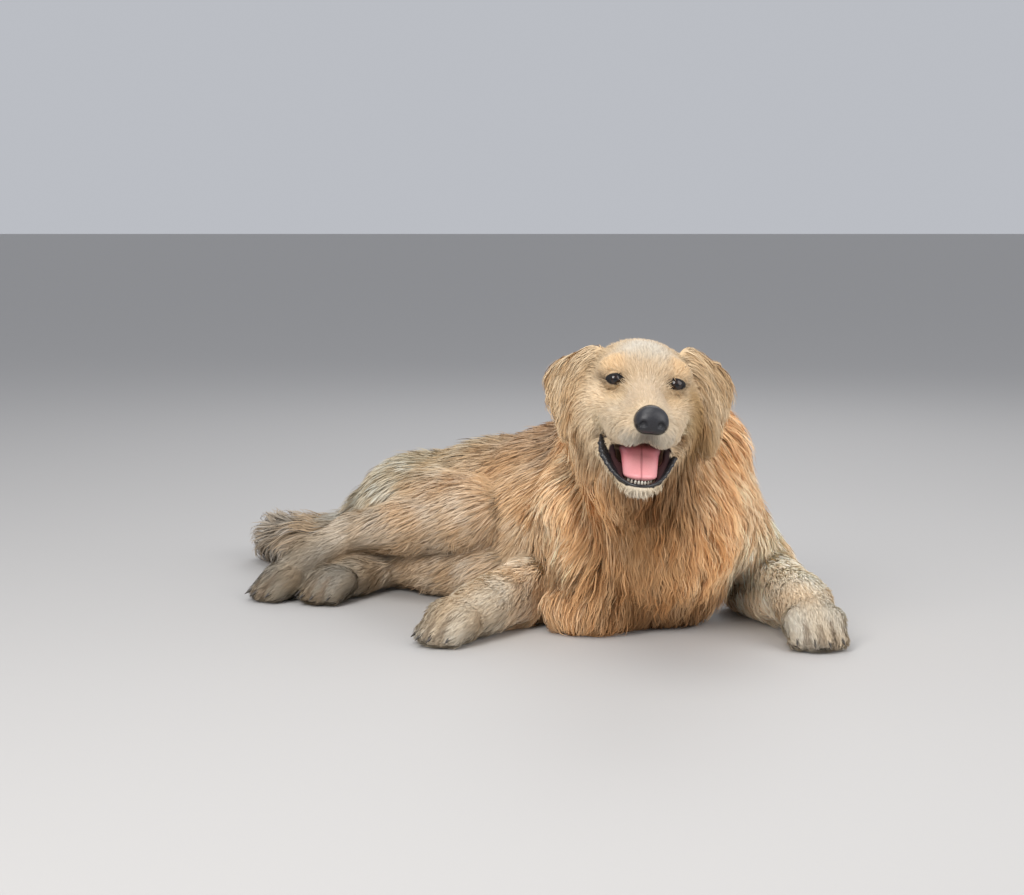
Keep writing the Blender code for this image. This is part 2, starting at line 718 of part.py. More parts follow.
def main():
    for obj in list(bpy.data.objects):
        bpy.data.objects.remove(obj)
    dog = bpy.data.collections.new("golden_retriever")
    cutters = bpy.data.collections.new("cutters")
    bpy.context.scene.collection.children.link(dog)
    bpy.context.scene.collection.children.link(cutters)

    forms = flesh_forms()
    flesh = seed_mesh(forms, dog, VOXEL)
    settle(flesh.data, lambda p: body_distance(p, forms))
    thin_region(flesh, [not mark for mark in near_head(flesh.data)], BODY_TRIANGLES)
    thin_region(flesh, near_head(flesh.data), HEAD_TRIANGLES)
    stand_on_floor(flesh)

    inserts = [make_eye("eye_right", -1, dog), make_eye("eye_left", 1, dog)]
    inserts.append(solid_from("nose", nose_form(), 0.0018, 150, dog))
    inserts.append(solid_from("tongue", tongue_form(), 0.0025, 130, dog))
    inserts += make_claws(dog)
    ears = [make_ear(name, dog) for name in EARS]
    for ear in ears:
        boolean(ear, grown_copy(flesh, GAP, cutters), "DIFFERENCE")
        keep_largest(ear)
    mouth = solid_from("mouth_cutter", mouth_form(), 0.003, 110, cutters)
    mouth.hide_render = True
    mouth.display_type = "WIRE"
    boolean(flesh, mouth, "DIFFERENCE")
    for piece in inserts:
        boolean(flesh, grown_copy(piece, GAP, cutters), "DIFFERENCE")
    keep_largest(flesh)

    nodes = inserts + ears
    legs = {
        "hind_right": hind_form("hind_right", *HIND_RADII["hind_right"]),
        "hind_left": hind_form("hind_left", *HIND_RADII["hind_left"]),
        "fore_right": fore_form("fore_right"),
        "fore_left": fore_form("fore_left"),
    }
    for name, form in legs.items():
        nodes += part_leg(flesh, name, form, cutters, dog)
    nodes += part_body(flesh, cutters)
    named = {obj.name: obj for obj in nodes}
    add_teeth(named["jaw"], named["tongue"], dog, cutters)
    for obj in nodes:
        tidy(obj)
        give_material(obj, *colour_of(obj.name))
    shift = centre_row(nodes)
    bpy.context.scene["row_shift"] = shift


main()
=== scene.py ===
"""The golden retriever's looks: one skin with its coat of hair, eyes, nose, mouth, teeth and claws.

The skin is the same blended form as the CAD model, drawn in by the depth of the coat in each region.
The coat is made of flat tapering strands that follow guides. A guide starts on the skin, and flows along
the lie of the hair at the height that its region gives. All shapes are worked out in the dog's own axes
and moved into the row frame at the end.
"""

import math

import bmesh
import bpy
import numpy as np
from mathutils import Matrix, Vector, kdtree


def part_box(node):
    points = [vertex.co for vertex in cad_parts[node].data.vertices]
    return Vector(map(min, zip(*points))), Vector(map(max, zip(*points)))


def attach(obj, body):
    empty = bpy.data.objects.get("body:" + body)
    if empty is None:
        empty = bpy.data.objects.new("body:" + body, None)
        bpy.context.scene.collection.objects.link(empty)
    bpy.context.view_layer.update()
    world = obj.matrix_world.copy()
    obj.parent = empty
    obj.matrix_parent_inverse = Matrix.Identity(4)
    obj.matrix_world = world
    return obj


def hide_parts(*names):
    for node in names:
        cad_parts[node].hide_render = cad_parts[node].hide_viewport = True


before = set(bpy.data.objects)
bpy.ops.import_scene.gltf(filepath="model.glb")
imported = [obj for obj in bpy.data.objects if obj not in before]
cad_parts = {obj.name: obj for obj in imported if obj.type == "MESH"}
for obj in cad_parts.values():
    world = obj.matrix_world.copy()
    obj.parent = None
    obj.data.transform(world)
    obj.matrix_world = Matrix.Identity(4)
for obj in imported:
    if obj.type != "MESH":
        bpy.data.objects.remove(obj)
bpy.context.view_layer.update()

COAT_SHARE = 1.0

# ---------------------------------------------------------------- dimensions
VOXEL = 0.0042
FLOOR = 0.0004  # how high above the floor the lowest hair lies
EYE_RADIUS = 0.0115
EYE_SPREAD = 0.0345
EYE_BACK = -0.0025
EYE_HALF_WIDTH, EYE_HALF_HEIGHT = 0.0094, 0.0062
LID_THICKNESS = 0.0019
TOE_RADIUS = 0.0128
CLAW_LENGTH = 0.0185

# The head turns about the point midway between the eyes.
HEAD_PLACE = Vector((-0.034, -0.164, 0.3285))
HEAD_YAW = math.radians(1.5)
HEAD_ROLL = math.radians(5.2)
HEAD = Matrix.Translation(HEAD_PLACE) @ Matrix.Rotation(HEAD_YAW, 4, "Z") @ Matrix.Rotation(HEAD_ROLL, 4, "Y")

# Joints of the body. Left and right are the dog's own.
CHEST = Vector((-0.004, 0.075, 0.150))
RIBS = Vector((-0.105, 0.200, 0.128))
LOIN = Vector((-0.205, 0.300, 0.108))
PELVIS = Vector((-0.312, 0.365, 0.088))
RUMP = Vector((-0.378, 0.392, 0.076))
# Shoulder, elbow, wrist and toes of the forelegs; hip, knee, heel and toes of the hind legs.
LIMBS = {
    "fore_right": [(-0.098, 0.04, 0.16), (-0.13, 0.16, 0.05), (-0.222, -0.006, 0.036), (-0.29, -0.08, 0.018)],
    "fore_left": [(0.062, 0.055, 0.155), (0.14, 0.165, 0.052), (0.175, 0, 0.04), (0.181, -0.114, 0.018)],
    "hind_right": [
        (-0.328, 0.345, 0.106), (-0.232, 0.185, 0.118), (-0.4, 0.28, 0.08), (-0.532, 0.205, 0.019),
    ],
    "hind_left": [
        (-0.3, 0.365, 0.052), (-0.212, 0.185, 0.046), (-0.352, 0.302, 0.032), (-0.456, 0.172, 0.018),
    ],
}
PASTERN = 0.45  # how far the hind pastern's end is on the way from the heel to the toes
HIND_RADII = {"hind_right": (0.067, 0.052, 0.028), "hind_left": (0.062, 0.046, 0.026)}
TAIL = [(-0.400, 0.395, 0.058), (-0.478, 0.425, 0.042), (-0.532, 0.510, 0.036), (-0.510, 0.620, 0.016)]
TAIL_RADII = [0.036, 0.040, 0.038, 0.017]
EARS = {
    "ear_right": [(-0.056, 0.062, 0.014), (-0.077, 0.080, -0.014), (-0.074, 0.072, -0.070)],
    "ear_left": [(0.056, 0.062, 0.022), (0.083, 0.082, -0.010), (0.086, 0.074, -0.074)],
}


def blend(a, b, width):
    """The smooth union of two distance fields, rounded over width."""
    h = np.clip(0.5 + 0.5 * (b - a) / width, 0, 1)
    return b * (1 - h) + a * h - width * h * (1 - h)


class Limb:
    """A round cone from start to end. wide stretches it across the direction side."""

    def __init__(self, start, end, r0, r1, side=None, wide=1.0):
        self.start, self.end = np.array(start, float), np.array(end, float)
        self.r0, self.r1, self.wide = r0, r1, wide
        self.side = None if side is None else np.array(Vector(side).normalized(), float)

    def distance(self, p):
        q = p - self.start
        axis = self.end - self.start
        if self.side is not None:
            q = q - np.outer(q @ self.side, self.side) * (1 - 1 / self.wide)
            axis = axis - (axis @ self.side) * self.side * (1 - 1 / self.wide)
        t = np.clip((q @ axis) / max(axis @ axis, 1e-12), 0, 1)
        return np.linalg.norm(q - np.outer(t, axis), axis=1) - (self.r0 + (self.r1 - self.r0) * t)

    def seeds(self):
        """Ellipsoids (place, matrix) along the limb, close enough to overlap."""
        length = np.linalg.norm(self.end - self.start)
        count = max(2, int(length / (0.5 * min(self.r0, self.r1))) + 1)
        stretch = Matrix.Identity(3)
        if self.side is not None:
            stretch = Matrix.Scale(self.wide, 3, Vector(self.side))
        for t in np.linspace(0, 1, min(count, 24)):
            radius = self.r0 + (self.r1 - self.r0) * t
            yield self.start + (self.end - self.start) * t, stretch * radius


class Lump:
    """An ellipsoid with three radii, turned by a matrix."""

    def __init__(self, place, radii, turn=None):
        self.place, self.radii = np.array(place, float), np.array(radii, float)
        self.turn = np.array(turn.to_3x3() if turn else Matrix.Identity(3), float)

    def distance(self, p):
        q = (p - self.place) @ self.turn
        k0 = np.linalg.norm(q / self.radii, axis=1)
        k1 = np.linalg.norm(q / self.radii**2, axis=1)
        return k0 * (k0 - 1) / np.maximum(k1, 1e-9)

    def seeds(self):
        yield self.place, Matrix(self.turn.tolist()) @ Matrix.Diagonal(Vector(self.radii))


class Form:
    """Several limbs and lumps blended together, which blend into the rest near a joint."""

    def __init__(self, parts, width, joint=None, reach=0.14, joint_width=0.04):
        self.parts, self.width = parts, width
        self.joint = None if joint is None else np.array(joint, float)
        self.reach, self.joint_width = reach, joint_width

    def distance(self, p):
        found = self.parts[0].distance(p)
        for part in self.parts[1:]:
            found = blend(found, part.distance(p), self.width)
        return found

    def width_at(self, p):
        """How far this form blends into the others: widest at its joint, and hardly at all elsewhere."""
        if self.joint is None:
            return self.joint_width
        near = np.clip(1 - np.linalg.norm(p - self.joint, axis=1) / self.reach, 0, 1)
        return 0.003 + (self.joint_width - 0.003) * near * near * (3 - 2 * near)


def in_head(x, y, z):
    """A place in the head's own axes (left, back, up), in the row frame."""
    return HEAD @ Vector((x, y, z))


def head_form():
    parts = [
        Lump(in_head(0, 0.058, -0.014), (0.060, 0.074, 0.056), HEAD),
        Lump(in_head(0, 0.022, 0.000), (0.046, 0.046, 0.038), HEAD),
        Limb(in_head(0, -0.004, -0.020), in_head(0, -0.074, -0.033), 0.025, 0.0205),
    ]
    for s in (-1, 1):
        lip, cheek = in_head(s * 0.015, -0.074, -0.047), in_head(s * 0.029, -0.016, -0.042)
        parts += [
            Lump(in_head(s * 0.029, 0.012, 0.009), (0.025, 0.024, 0.017), HEAD),
            Lump(in_head(s * 0.038, 0.046, -0.040), (0.030, 0.050, 0.036), HEAD),
            Lump(in_head(s * 0.034, 0.012, -0.030), (0.024, 0.030, 0.020), HEAD),
            Limb(lip, cheek, 0.0175, 0.0205),
        ]
    return Form(parts, 0.013)


def jaw_form():
    parts = [
        Limb(in_head(0, 0.045, -0.082), in_head(0, -0.046, -0.1135), 0.030, 0.012, HEAD.col[0].xyz, 1.3),
        Lump(in_head(0, -0.055, -0.1145), (0.020, 0.014, 0.0100), HEAD),
    ]
    for s in (-1, 1):
        angle, lip = in_head(s * 0.037, 0.034, -0.064), in_head(s * 0.019, -0.044, -0.108)
        parts.append(Limb(angle, lip, 0.021, 0.010))
    return Form(parts, 0.010, in_head(0, 0.060, -0.060), 0.075, 0.016)


def neck_form():
    parts = [
        Limb(in_head(0, 0.085, -0.050), (-0.016, 0.110, 0.205), 0.076, 0.104),
        Limb(in_head(0, 0.080, -0.110), (0.000, 0.040, 0.150), 0.060, 0.090),
        Lump((0.048, 0.075, 0.215), (0.066, 0.080, 0.070)),
    ]
    return Form(parts, 0.03)


def trunk_form():
    heading = Matrix.Rotation(math.radians(14), 4, "Z")
    roll = Matrix.Rotation(math.radians(57), 4, "Z")
    parts = [
        Lump(CHEST, (0.108, 0.120, 0.132), heading),
        Lump((0.002, -0.002, 0.125), (0.082, 0.058, 0.085)),
        Lump((-0.010, 0.080, 0.056), (0.098, 0.085, 0.072)),
        Lump((-0.030, 0.135, 0.200), (0.082, 0.090, 0.066)),
        Limb((-0.030, 0.120, 0.145), RIBS, 0.118, 0.108),
        Limb(RIBS, LOIN, 0.108, 0.096),
        Limb(LOIN, PELVIS, 0.096, 0.086),
        Limb(PELVIS, RUMP, 0.084, 0.054),
        Lump((-0.088, 0.030, 0.026), (0.060, 0.060, 0.036)),
        Lump((-0.125, 0.195, 0.055), (0.080, 0.110, 0.070), roll),
        Lump((-0.235, 0.290, 0.052), (0.075, 0.110, 0.068), roll),
    ]
    return Form(parts, 0.035)


def across(start, end):
    """The level direction across a limb that runs from start to end, towards its left."""
    return (Vector(end) - Vector(start)).cross(Vector((0, 0, 1))).normalized() * -1


def toes(wrist, tip):
    """The knuckle and tip of each of a paw's four toes, the outer ones shorter."""
    wrist, tip = Vector(wrist), Vector(tip)
    ahead = (tip - wrist).normalized()
    side = across(wrist, tip)
    for place in (-1.5, -0.5, 0.5, 1.5):
        outer = abs(place) > 1
        knuckle = tip - ahead * (0.050 if outer else 0.044) + side * place * 0.0145
        end = tip - ahead * (0.026 if outer else 0.014) + side * place * 0.0170
        knuckle.z = 0.029
        end.z = 0.0125
        yield knuckle, end


def toes_of(limb):
    _, _, wrist, tip = (Vector(p) for p in LIMBS[limb])
    return list(toes(wrist if limb.startswith("fore") else wrist.lerp(tip, PASTERN), tip))


def paw_parts(wrist, tip, radius):
    """The pad and toes of a paw, from the wrist or the hind pastern to the toes' tips."""
    wrist, tip = Vector(wrist), Vector(tip)
    side = across(wrist, tip)
    heel = wrist.lerp(tip, 0.50)
    heel.z = 0.026
    parts = [
        Limb(wrist, heel, radius, 0.0235, side, 1.12),
        Lump(heel + Vector((0, 0, -0.008)), (0.030, 0.030, 0.020)),
    ]
    pairs = list(toes(wrist, tip))
    parts += [Limb(knuckle, end, TOE_RADIUS * 1.08, TOE_RADIUS) for knuckle, end in pairs]
    back = (heel - tip).normalized() * 0.004
    parts.append(Limb(pairs[0][0] + back, pairs[3][0] + back, 0.0145, 0.0145))
    return parts


def fore_form(name):
    shoulder, elbow, wrist, tip = (Vector(p) for p in LIMBS[name])
    side = across(elbow, wrist)
    inward = 1 if name.endswith("left") else -1
    parts = [
        Limb(shoulder, elbow, 0.056, 0.045, side, 1.05),
        Limb(elbow, wrist, 0.041, 0.029, side, 1.08),
        Limb(
            elbow.lerp(wrist, 0.05) - Vector((inward * 0.022, 0, 0.018)),
            elbow.lerp(wrist, 0.72) - Vector((inward * 0.026, 0, 0.020)),
            0.036,
            0.018,
        ),
    ]
    parts += paw_parts(wrist, tip, 0.0285)
    parts.append(Limb(elbow.lerp(wrist, 0.80), wrist.lerp(tip, 0.42), 0.0310, 0.0270, side, 1.15))
    return Form(parts, 0.014, shoulder.lerp(elbow, 0.35), 0.16, 0.045)


def hind_form(name, thigh, knee, hock):
    hip, stifle, heel, tip = (Vector(p) for p in LIMBS[name])
    pastern = heel.lerp(tip, PASTERN)
    parts = [
        Limb(hip, stifle, thigh, knee),
        Limb(stifle, heel, knee * 0.92, hock),
        Limb(heel, pastern, hock, 0.0255),
        Limb(hip.lerp(stifle, 0.15), stifle.lerp(heel, 0.55), thigh * 0.72, knee * 0.74),
    ]
    return Form(parts + paw_parts(pastern, tip, 0.0255), 0.012, hip, 0.16, 0.04)


def tail_form():
    parts = [
        Limb(a, b, r0, r1) for a, b, r0, r1 in zip(TAIL, TAIL[1:], TAIL_RADII, TAIL_RADII[1:])
    ]
    return Form(parts, 0.012, TAIL[0], 0.08, 0.025)


def flesh_forms():
    return [
        trunk_form(),
        neck_form(),
        head_form(),
        jaw_form(),
        fore_form("fore_right"),
        fore_form("fore_left"),
        hind_form("hind_right", *HIND_RADII["hind_right"]),
        hind_form("hind_left", *HIND_RADII["hind_left"]),
        tail_form(),
    ]


# ---------------------------------------------------------------- regions of the coat
# name: depth of the coat, length of its hair, width of a strand, how far strands clump, height of their
# waves, strands per square centimetre, segments of a strand, and the colour (linear)
REGIONS = {
    "crown": (0.0040, 0.0105, 0.00070, 0.20, 0.0000, 40, 2, (0.58, 0.45, 0.29)),
    "face": (0.0030, 0.009, 0.00065, 0.15, 0.0000, 48, 2, (0.62, 0.46, 0.29)),
    "muzzle": (0.0022, 0.006, 0.00058, 0.10, 0.0000, 54, 2, (0.64, 0.50, 0.34)),
    "flew": (0.0025, 0.008, 0.00060, 0.15, 0.0000, 50, 2, (0.74, 0.60, 0.42)),
    "cheek": (0.0060, 0.022, 0.00085, 0.35, 0.0005, 32, 3, (0.84, 0.61, 0.36)),
    "jaw": (0.0035, 0.012, 0.00070, 0.25, 0.0000, 36, 2, (0.74, 0.60, 0.41)),
    "ear": (0.0045, 0.038, 0.00090, 0.60, 0.0030, 31, 5, (0.64, 0.46, 0.27)),
    "neck": (0.0130, 0.055, 0.00125, 0.62, 0.0028, 15.5, 5, (0.92, 0.60, 0.32)),
    "ruff": (0.0180, 0.080, 0.00135, 0.78, 0.0044, 17, 6, (0.92, 0.55, 0.26)),
    "chest": (0.0150, 0.064, 0.00130, 0.72, 0.0036, 15.5, 5, (0.92, 0.57, 0.29)),
    "back": (0.0100, 0.034, 0.00125, 0.35, 0.0010, 17, 4, (0.44, 0.29, 0.175)),
    "side": (0.0110, 0.036, 0.00125, 0.40, 0.0012, 17, 4, (0.76, 0.50, 0.27)),
    "flank": (0.0100, 0.040, 0.00130, 0.50, 0.0018, 15, 4, (0.42, 0.28, 0.155)),
    "belly": (0.0090, 0.038, 0.00130, 0.55, 0.0018, 11, 4, (0.58, 0.43, 0.27)),
    "rump": (0.0120, 0.052, 0.00135, 0.60, 0.0022, 17, 4, (0.66, 0.59, 0.45)),
    "thigh": (0.0080, 0.034, 0.00130, 0.50, 0.0018, 18.5, 4, (0.66, 0.48, 0.31)),
    "arm": (0.0085, 0.030, 0.00125, 0.45, 0.0014, 16, 4, (0.92, 0.68, 0.42)),
    "forearm": (0.0055, 0.019, 0.00100, 0.30, 0.0004, 22, 3, (0.92, 0.79, 0.60)),
    "feather": (0.0100, 0.048, 0.00120, 0.70, 0.0026, 17, 5, (0.70, 0.45, 0.23)),
    "shank": (0.0055, 0.022, 0.00105, 0.35, 0.0006, 23, 3, (0.74, 0.58, 0.41)),
    "paw": (0.0036, 0.0125, 0.00078, 0.20, 0.0000, 33, 2, (0.56, 0.47, 0.35)),
    "tail": (0.0140, 0.070, 0.00135, 0.65, 0.0030, 12, 5, (0.43, 0.35, 0.26)),
    "fringe": (0.0120, 0.058, 0.00125, 0.74, 0.0034, 17, 5, (0.70, 0.40, 0.18)),
}
REGION_NAMES = list(REGIONS)
DEPTH, LENGTH, WIDTH, CLUMP, WAVE, DENSITY, SEGMENTS = (
    np.array([REGIONS[name][k] for name in REGION_NAMES], float) for k in range(7)
)
COLOUR = np.array([REGIONS[name][7] for name in REGION_NAMES])
STRAYS = {"ear": 0.16, "rump": 0.12, "thigh": 0.06, "tail": 0.10, "fringe": 0.24, "feather": 0.14}
STRAY = np.array([STRAYS.get(name, 0) for name in REGION_NAMES])
FEATHERED = ("thigh", "flank", "rump", "arm", "forearm", "feather")


def share_of(regions, *names):
    """How much the named regions have to say at each point."""
    return regions[:, [REGION_NAMES.index(name) for name in names]].sum(axis=1)


def vec(v):
    return np.array(Vector(v), float)


def ear_form(name):
    a, b, c = (in_head(*p) for p in EARS[name])
    s = 1 if name.endswith("left") else -1
    face = HEAD.to_3x3() @ Vector((s * 0.50, -0.82, 0.18))
    parts = [Limb(a, b, 0.022, 0.034, face, 0.36), Limb(b, c, 0.034, 0.014, face, 0.42)]
    return Form(parts, 0.012, a, 0.05, 0.008)


def mouth_form():
    """The hollow of the open mouth: its throat, and the bowl inside the lower lips."""
    up = HEAD.col[2].xyz
    throat = Limb(in_head(0, -0.015, -0.072), in_head(0, 0.034, -0.062), 0.030, 0.018, up, 0.5)
    front = Lump(in_head(0, -0.048, -0.0985), (0.0195, 0.0235, 0.0165), HEAD)
    middle = Lump(in_head(0, -0.020, -0.0830), (0.0270, 0.0260, 0.0175), HEAD)
    return Form([throat, front, middle], 0.006)


FLEWS = [
    Limb((s * 0.0175, -0.0700, -0.0535), (s * 0.0280, -0.0350, -0.0545), 0.0115, 0.0125) for s in (-1, 1)
]
LEFT_CORNER = Lump((0.0445, -0.004, -0.0680), (0.0095, 0.0120, 0.0160))
CHEST_FILL = Lump((-0.082, 0.030, 0.072), (0.054, 0.052, 0.070))  # between the chest and the right elbow

# The region of each part, in the order of flesh_forms and then the ears.
FORE_TAGS = ["arm", "forearm", "feather"] + ["paw"] * 7 + ["forearm"]
HIND_TAGS = ["thigh", "shank", "shank", "thigh"] + ["paw"] * 7
TAGS = [
    ["chest", "ruff", "chest", "back", "side", "side", "flank", "rump", "fringe", "belly", "belly"],
    ["neck", "ruff", "neck"],
    ["crown", "face", "muzzle"] + ["face", "cheek", "face", "flew"] * 2,
    ["jaw"] * 4,
    FORE_TAGS,
    FORE_TAGS,
    HIND_TAGS,
    HIND_TAGS,
    ["tail"] * 3,
    ["ear"] * 2,
    ["ear"] * 2,
]
NOSE_TIP = vec(in_head(0, -0.0985, -0.034))

# The lie of the hair on each region: a fixed direction, how far it runs away from the nose, how far it
# spreads to both sides of the chest, and how far it follows the limb it grows on.
LIE = {
    "crown": ((0, 0.2, 0), 1.0, 0, 0),
    "face": ((0, 0, 0), 1.0, 0, 0),
    "muzzle": ((0, 0.2, 0), 1.0, 0, 0),
    "flew": ((0, 0.2, -0.6), 0.7, 0, 0),
    "cheek": ((0, 0.5, -0.9), 0.4, 0, 0),
    "jaw": ((0, 0.6, -0.9), 0.3, 0, 0),
    "ear": ((0, 0, -0.25), 0, 0, 1.0),
    "neck": ((-0.02, 0.15, -1.0), 0, 1.5, 0.1),
    "ruff": ((0, 0.0, -1.0), 0, 1.2, 0),
    "chest": ((-0.10, 0.25, -0.9), 0, 2.0, 0),
    "back": ((-0.55, 0.75, -0.3), 0, 0, 0),
    "side": ((0, 0, -0.55), 0, 0, 0.9),
    "flank": ((0, 0, -0.45), 0, 0, 1.0),
    "belly": ((-0.4, 0.1, -0.5), 0, 0, 0),
    "rump": ((-0.35, 0, -0.35), 0, 0, 0.8),
    "thigh": ((-0.75, 0.15, -0.45), 0, 0, 0.15),
    "arm": ((0, -0.1, -0.45), 0, 0, 0.9),
    "forearm": ((0, 0, -0.1), 0, 0, 1.0),
    "feather": ((0, -0.2, -0.6), 0, 0, 0.6),
    "shank": ((0, 0, -0.1), 0, 0, 1.0),
    "paw": ((0, 0, -0.1), 0, 0, 1.0),
    "tail": ((-0.1, 0.1, -0.4), 0, 0, 1.0),
    "fringe": ((-0.10, -0.55, -0.8), 0, 0.4, 0),
}


def part_axis(part):
    if isinstance(part, Lump):
        return np.zeros(3)
    along = part.end - part.start
    return along / max(np.linalg.norm(along), 1e-9)


FORMS = flesh_forms() + [ear_form("ear_right"), ear_form("ear_left")]
PAW_AXES = {4 + k: vec(tip) - vec(wrist) for k, (_, _, wrist, tip) in enumerate(LIMBS.values())}
PART_REGION = np.array([REGION_NAMES.index(tag) for tags in TAGS for tag in tags])
PART_TO_REGION = np.eye(len(REGION_NAMES))[PART_REGION]


def part_lies():
    """For every part: its fixed lie, and the shares that run from the nose and spread on the chest."""
    fixed, nose, spread = [], [], []
    for number, (form, tags) in enumerate(zip(FORMS, TAGS)):
        for part, tag in zip(form.parts, tags):
            steady, from_nose, sideways, along = LIE[tag]
            axis = part_axis(part)
            if tag == "paw":
                axis = PAW_AXES[number] / np.linalg.norm(PAW_AXES[number])
            fixed.append(np.array(steady, float) + axis * along)
            nose.append(from_nose)
            spread.append(sideways)
    return np.array(fixed), np.array(nose), np.array(spread)


LIE_FIXED, LIE_NOSE, LIE_SPREAD = part_lies()


# ---------------------------------------------------------------- the skin's distance field
HEAD_INVERSE = np.array(HEAD.inverted())


def to_head(p):
    return p @ HEAD_INVERSE[:3, :3].T + HEAD_INVERSE[:3, 3]


def away_from(p, *place):
    return np.linalg.norm(p - np.array(place), axis=1)


def unit(v):
    return v / np.maximum(np.linalg.norm(v, axis=-1, keepdims=True), 1e-9)


def smooth(low, high, x):
    t = np.clip((x - low) / (high - low), 0, 1)
    return t * t * (3 - 2 * t)


def part_distances(p):
    """(distance to the blended body, distance to each part)."""
    columns = []
    body = None
    for form in FORMS:
        found = None
        for part in form.parts:
            here = part.distance(p)
            columns.append(here)
            found = here if found is None else blend(found, here, form.width)
        body = found if body is None else blend(body, found, form.width_at(p))
    return body, np.stack(columns, axis=1)


def region_weights(distances, p):
    """How much each part, and each region, has to say at a point: the nearer, the more."""
    near = distances - distances.min(axis=1, keepdims=True)
    far_from_head = smooth(0.10, 0.16, away_from(to_head(p), 0, 0.02, -0.03))
    weights = np.exp(-near / (0.009 + 0.013 * far_from_head)[:, None])
    weights /= weights.sum(axis=1, keepdims=True)
    return weights, weights @ PART_TO_REGION


def almond(q, s):
    """Distance to the outline of the eye's opening, on the face of the head. s is the side."""
    x = (q[:, 0] - s * EYE_SPREAD) * s
    z = q[:, 2] + 0.06 * x - 0.0002
    half = np.where(z > 0, EYE_HALF_HEIGHT, EYE_HALF_HEIGHT * 0.78)
    reach = np.sqrt((x / EYE_HALF_WIDTH) ** 2 + (z / half) ** 2)
    return (reach - 1) * EYE_HALF_HEIGHT


def head_detail(p, d):
    """Adds the lids, and opens the eyes, the mouth, the groove under the nose and the corner folds."""
    q = to_head(p)
    for s in (-1, 1):
        eye = away_from(q, s * EYE_SPREAD, EYE_BACK, 0)
        d = blend(d, eye - (EYE_RADIUS + LID_THICKNESS), 0.004)
        open_eye = np.maximum(almond(q, s), q[:, 1] - (EYE_BACK + 0.001))
        d = np.maximum(d, -open_eye)
        d = np.maximum(d, -(eye - (EYE_RADIUS + 0.0003)))
        fold = Limb((s * 0.0485, 0.000, -0.060), (s * 0.0525, 0.006, -0.044), 0.0036, 0.0014)
        d = -blend(-d, fold.distance(q), 0.004)
    for flew in FLEWS:
        d = blend(d, flew.distance(q), 0.006)
    groove = Limb((0, -0.0985, -0.044), (0, -0.0945, -0.068), 0.0018, 0.0014)
    d = -blend(-d, groove.distance(q), 0.003)
    d = -blend(-d, MOUTH.distance(p), 0.003)
    return blend(d, LEFT_CORNER.distance(q), 0.006)


def toe_gaps():
    """The clefts between the toes of each paw."""
    gaps = []
    for limb in LIMBS:
        pairs = toes_of(limb)
        for (k0, e0), (k1, e1) in zip(pairs, pairs[1:]):
            knuckle, end = (k0 + k1) / 2, (e0 + e1) / 2
            ahead = (end - knuckle) * Vector((1, 1, 0))
            start = knuckle + ahead * 0.55 + Vector((0, 0, 0.0075))
            gaps.append(Limb(start, end + ahead * 0.45 + Vector((0, 0, 0.001)), 0.0010, 0.0040))
    return gaps


TOE_GAPS = toe_gaps()


def gap_distance(p):
    found = np.full(len(p), 9.0)
    low = p[:, 2] < 0.07
    if low.any():
        found[low] = np.min([gap.distance(p[low]) for gap in TOE_GAPS], axis=0)
    return found


MOUTH = mouth_form()


def skin_distance(p, depth):
    body, _ = part_distances(p)
    body = blend(body, CHEST_FILL.distance(p), 0.03)
    d = head_detail(p, body + depth)
    return -blend(-d, gap_distance(p), 0.003)


def slope_of(distance, step=0.0004):
    """A function that gives (distance, unit slope) of a distance field at each point."""
    def both(p):
        here = distance(p)
        slope = np.stack([distance(p + np.eye(3)[k] * step) - here for k in range(3)], axis=1) / step
        size = np.maximum(np.linalg.norm(slope, axis=1), 0.3)
        return here / size, slope / size[:, None]

    return both


def skin_slope(p, depth):
    return slope_of(lambda q: skin_distance(q, depth), 0.0006)(p)


def depth_at(p):
    """(depth of the coat, share of each region) at each point."""
    _, distances = part_distances(p)
    _, regions = region_weights(distances, p)
    return regions @ DEPTH, regions


# ---------------------------------------------------------------- the skin's mesh
def new_object(name, mesh):
    made = bpy.data.objects.new(name, mesh)
    bpy.context.scene.collection.objects.link(made)
    return made


def mesh_of(bm, name):
    mesh = bpy.data.meshes.new(name)
    bm.to_mesh(mesh)
    bm.free()
    return mesh


def apply_modifiers(obj):
    graph = bpy.context.evaluated_depsgraph_get()
    graph.update()
    mesh = bpy.data.meshes.new_from_object(obj.evaluated_get(graph), depsgraph=graph)
    obj.modifiers.clear()
    obj.data = mesh


def seed_mesh(forms, voxel, name):
    """Every limb and lump as overlapping spheres, joined by a voxel Remesh."""
    bm = bmesh.new()
    for form in forms:
        for part in form.parts:
            for place, matrix in part.seeds():
                world = Matrix.Translation(Vector(place)) @ matrix.to_4x4()
                bmesh.ops.create_icosphere(bm, subdivisions=2, radius=1.0, matrix=world)
    obj = new_object(name, mesh_of(bm, name))
    remesh = obj.modifiers.new("voxels", "REMESH")
    remesh.mode = "VOXEL"
    remesh.voxel_size = voxel
    apply_modifiers(obj)
    return obj


def vertex_places(mesh, what="co"):
    values = np.empty(len(mesh.vertices) * 3, np.float32)
    mesh.vertices.foreach_get(what, values)
    return values.reshape(-1, 3).astype(float)


def set_places(mesh, places):
    mesh.vertices.foreach_set("co", places.astype(np.float32).ravel())
    mesh.update()


def edge_ends(mesh):
    ends = np.empty(len(mesh.edges) * 2, np.int32)
    mesh.edges.foreach_get("vertices", ends)
    return ends.reshape(-1, 2)


def relaxed(places, ends, share):
    """Each point moved part of the way to its neighbours' middle."""
    total = np.zeros_like(places)
    count = np.bincount(ends.ravel(), minlength=len(places)).astype(float)
    for a, b in ((0, 1), (1, 0)):
        for k in range(3):
            total[:, k] += np.bincount(ends[:, a], places[ends[:, b], k], minlength=len(places))
    return places + (total / count[:, None] - places) * share


